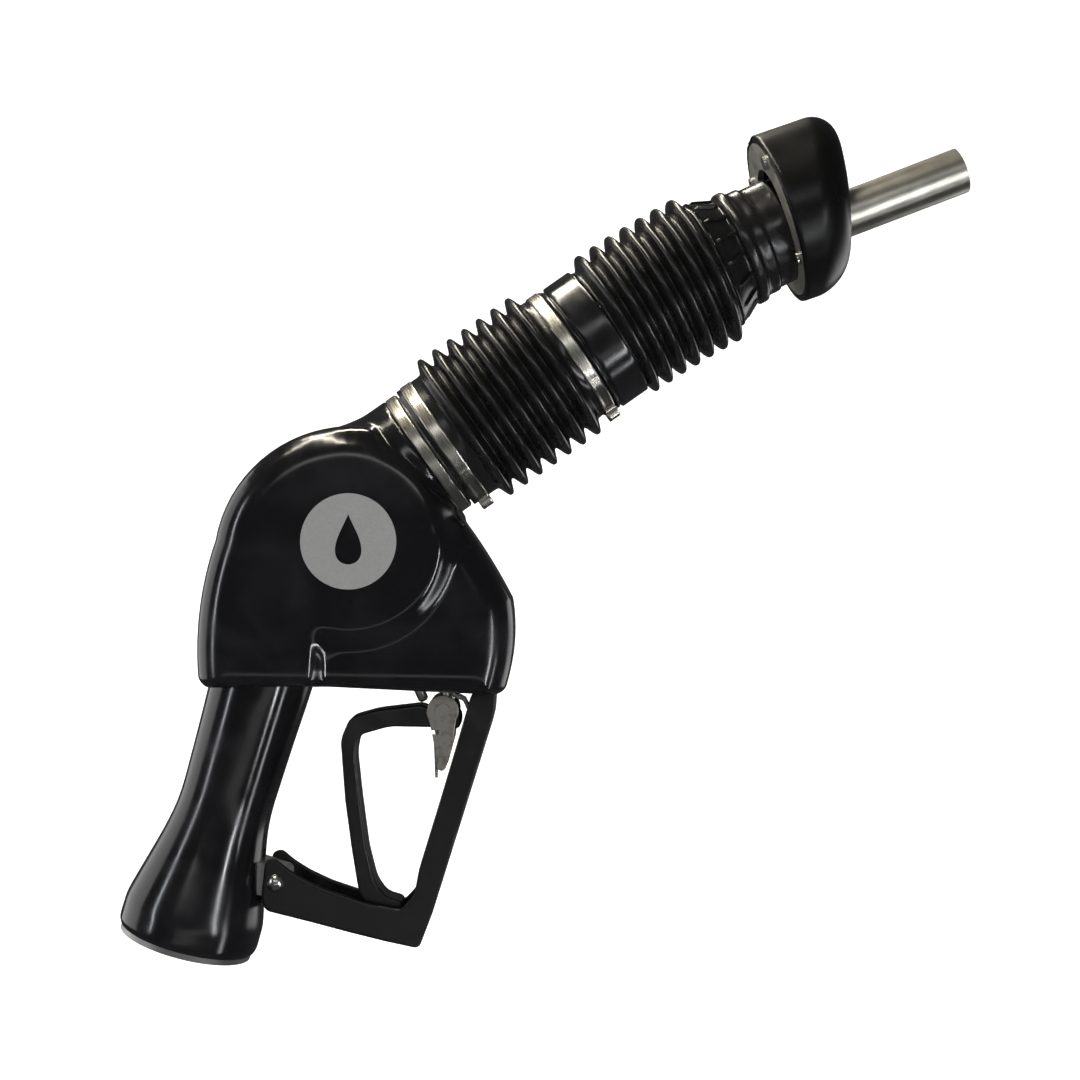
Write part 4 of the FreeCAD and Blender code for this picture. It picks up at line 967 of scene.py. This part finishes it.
def latch():
    """Make the hold-open latch: two cheeks outside the lever, joined by a bar at the foot."""
    tail = soft_outline(LATCH_TAIL, 1.2)

    def distance(x, y, z):
        flat = smooth_min(tail(x, z), round_about(LATCH_PIN_AT, x, z, HEAD_RADIUS), 2)
        cheek = round_corner(flat, np.abs(np.abs(y) - CHEEK_PLACE) - CHEEK_HALF, 0.35)
        bar = round_corner(round_about(LATCH_BAR_AT, x, z, 1.2), np.abs(y) - CHEEK_PLACE - CHEEK_HALF, 0.3)
        slot = np.maximum(np.abs(z - 95) - 0.9, np.maximum(110 - x, x - 114.6))
        hole = round_about(LATCH_PIN_AT, x, z, LATCH_HOLE)
        return np.minimum(np.maximum(np.maximum(cheek, -slot), -hole), bar)

    piece = sculpted("latch_cheeks", distance, (108, -9.8, 76), (124.5, 9.8, 112.5), LATCH_STEP, LATCH_STEEL)
    settle(piece, "latch", "plated_steel", "hold_open_latch")


def springs():
    """Copy each coil spring that a joint presses into an object of its own, in place, and hide its CAD node.
    """
    for joint in RECORD["behaviour"]["joints"]:
        pressed = [entry["node"] for entry in joint.get("deforming_nodes", ())]
        for name in [node for node in pressed if node.endswith("_spring")]:
            mesh = NODES[name].data.copy()
            mesh.transform(NODES[name].matrix_world)
            coil = bpy.data.objects.new(name + "_coil", mesh)
            bpy.context.scene.collection.objects.link(coil)
            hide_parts(name)
            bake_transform(coil)


# Stage, lights and camera, all in metres.

def stage():
    """Make the white floor and the wall behind it, joined by a sweep."""
    floor_z = CAD_BOX[0][2] - 0.16
    size, sweep, sweep_start, steps = 3.0, 0.5, 0.5, 12
    line = [(-size, floor_z), (sweep_start, floor_z)]
    for k in range(1, steps + 1):
        turn = math.pi / 2 * k / steps
        line.append((sweep_start + sweep * math.sin(turn), floor_z + sweep * (1 - math.cos(turn))))
    line.append((sweep_start + sweep, floor_z + size))
    points = [(x, y, z) for y, z in line for x in (-size, size)]
    faces = [(2 * k, 2 * k + 1, 2 * k + 3, 2 * k + 2) for k in range(len(line) - 1)]
    mesh = bpy.data.meshes.new("backdrop")
    mesh.from_pydata(points, [], faces)
    mesh.polygons.foreach_set("use_smooth", [True] * len(faces))
    backdrop = bpy.data.objects.new("backdrop", mesh)
    bpy.context.scene.collection.objects.link(backdrop)
    look = Look("backdrop", (0.9, 0.9, 0.9), 0.9)
    look.shader.inputs["Emission Color"].default_value = (1, 1, 1, 1)
    look.shader.inputs["Emission Strength"].default_value = 0.45
    mesh.materials.append(look.material)
    backdrop.visible_glossy = False


NOZZLE_MIDDLE = (0.16, 0, 0.18)
WARM = (1, 0.93, 0.78)
COOL = (0.95, 0.97, 1)


def light(name, place, size_x, size_y, power, colour=(1, 1, 1)):
    """Hang a rectangular light that faces the middle of the nozzle. The camera doesn't see it."""
    lamp = bpy.data.lights.new(name, "AREA")
    lamp.shape = "RECTANGLE"
    lamp.size = size_x
    lamp.size_y = size_y
    lamp.energy = power
    lamp.color = colour
    thing = bpy.data.objects.new(name, lamp)
    thing.location = place
    aim = Vector(NOZZLE_MIDDLE) - Vector(place)
    thing.rotation_euler = aim.to_track_quat("-Z", "Y").to_euler()
    thing.visible_camera = False
    bpy.context.scene.collection.objects.link(thing)


def studio():
    """Light the scene with overhead tubes, side strips and large soft rims."""
    world = bpy.data.worlds.new("studio")
    world.use_nodes = True
    background = world.node_tree.nodes["Background"]
    background.inputs["Color"].default_value = (0.9, 0.93, 1, 1)
    background.inputs["Strength"].default_value = 0.06
    bpy.context.scene.world = world
    light("tube", (-0.25, -0.1, 1.25), 1.3, 0.07, 11, WARM)
    light("tube_behind", (-0.25, 0.3, 1.25), 1.3, 0.07, 9, WARM)
    light("left", (-1.1, -0.75, 0.35), 0.07, 0.8, 2.6, (0.9, 0.94, 1))
    light("right", (1.2, -0.6, -0.5), 0.08, 0.8, 2.5, COOL)
    light("rim_left", (-1.2, 0.45, 0.4), 1.3, 1.2, 7)
    light("rim_right", (1.2, 0.75, 0.1), 0.7, 1.0, 4)
    light("front", (0.1, -1.6, 0.7), 1.2, 0.2, 2.2)
    light("low_front", (0.35, -1.3, -0.35), 1.6, 0.2, 0.7)
    light("low_right", (0.75, -0.75, -0.1), 0.05, 0.5, 2.5, COOL)


def camera():
    """Stand the camera square to the nozzle's plane of symmetry."""
    data = bpy.data.cameras.new("camera")
    data.lens = 56.3
    data.sensor_width = 36
    thing = bpy.data.objects.new("camera", data)
    thing.location = (0.1595, -0.761, 0.1806)
    thing.rotation_euler = (math.radians(90), 0, 0)
    bpy.context.scene.collection.objects.link(thing)
    bpy.context.scene.camera = thing


camera()
studio()
stage()
dress_nodes()
body_cover()
hand_grip()
collar()
clamp("rear_clamp_band", 5.7, 30.6, "housing", "rear_clamp")
clamp("middle_clamp_band", 74.7, 30.75, "middle", "middle_clamp")
connector()
nose_boot()
face()
roundel()
lever()
guard()
latch()
rear_bellows()
front_bellows()
springs()
bpy.context.scene.view_settings.view_transform = "Standard"
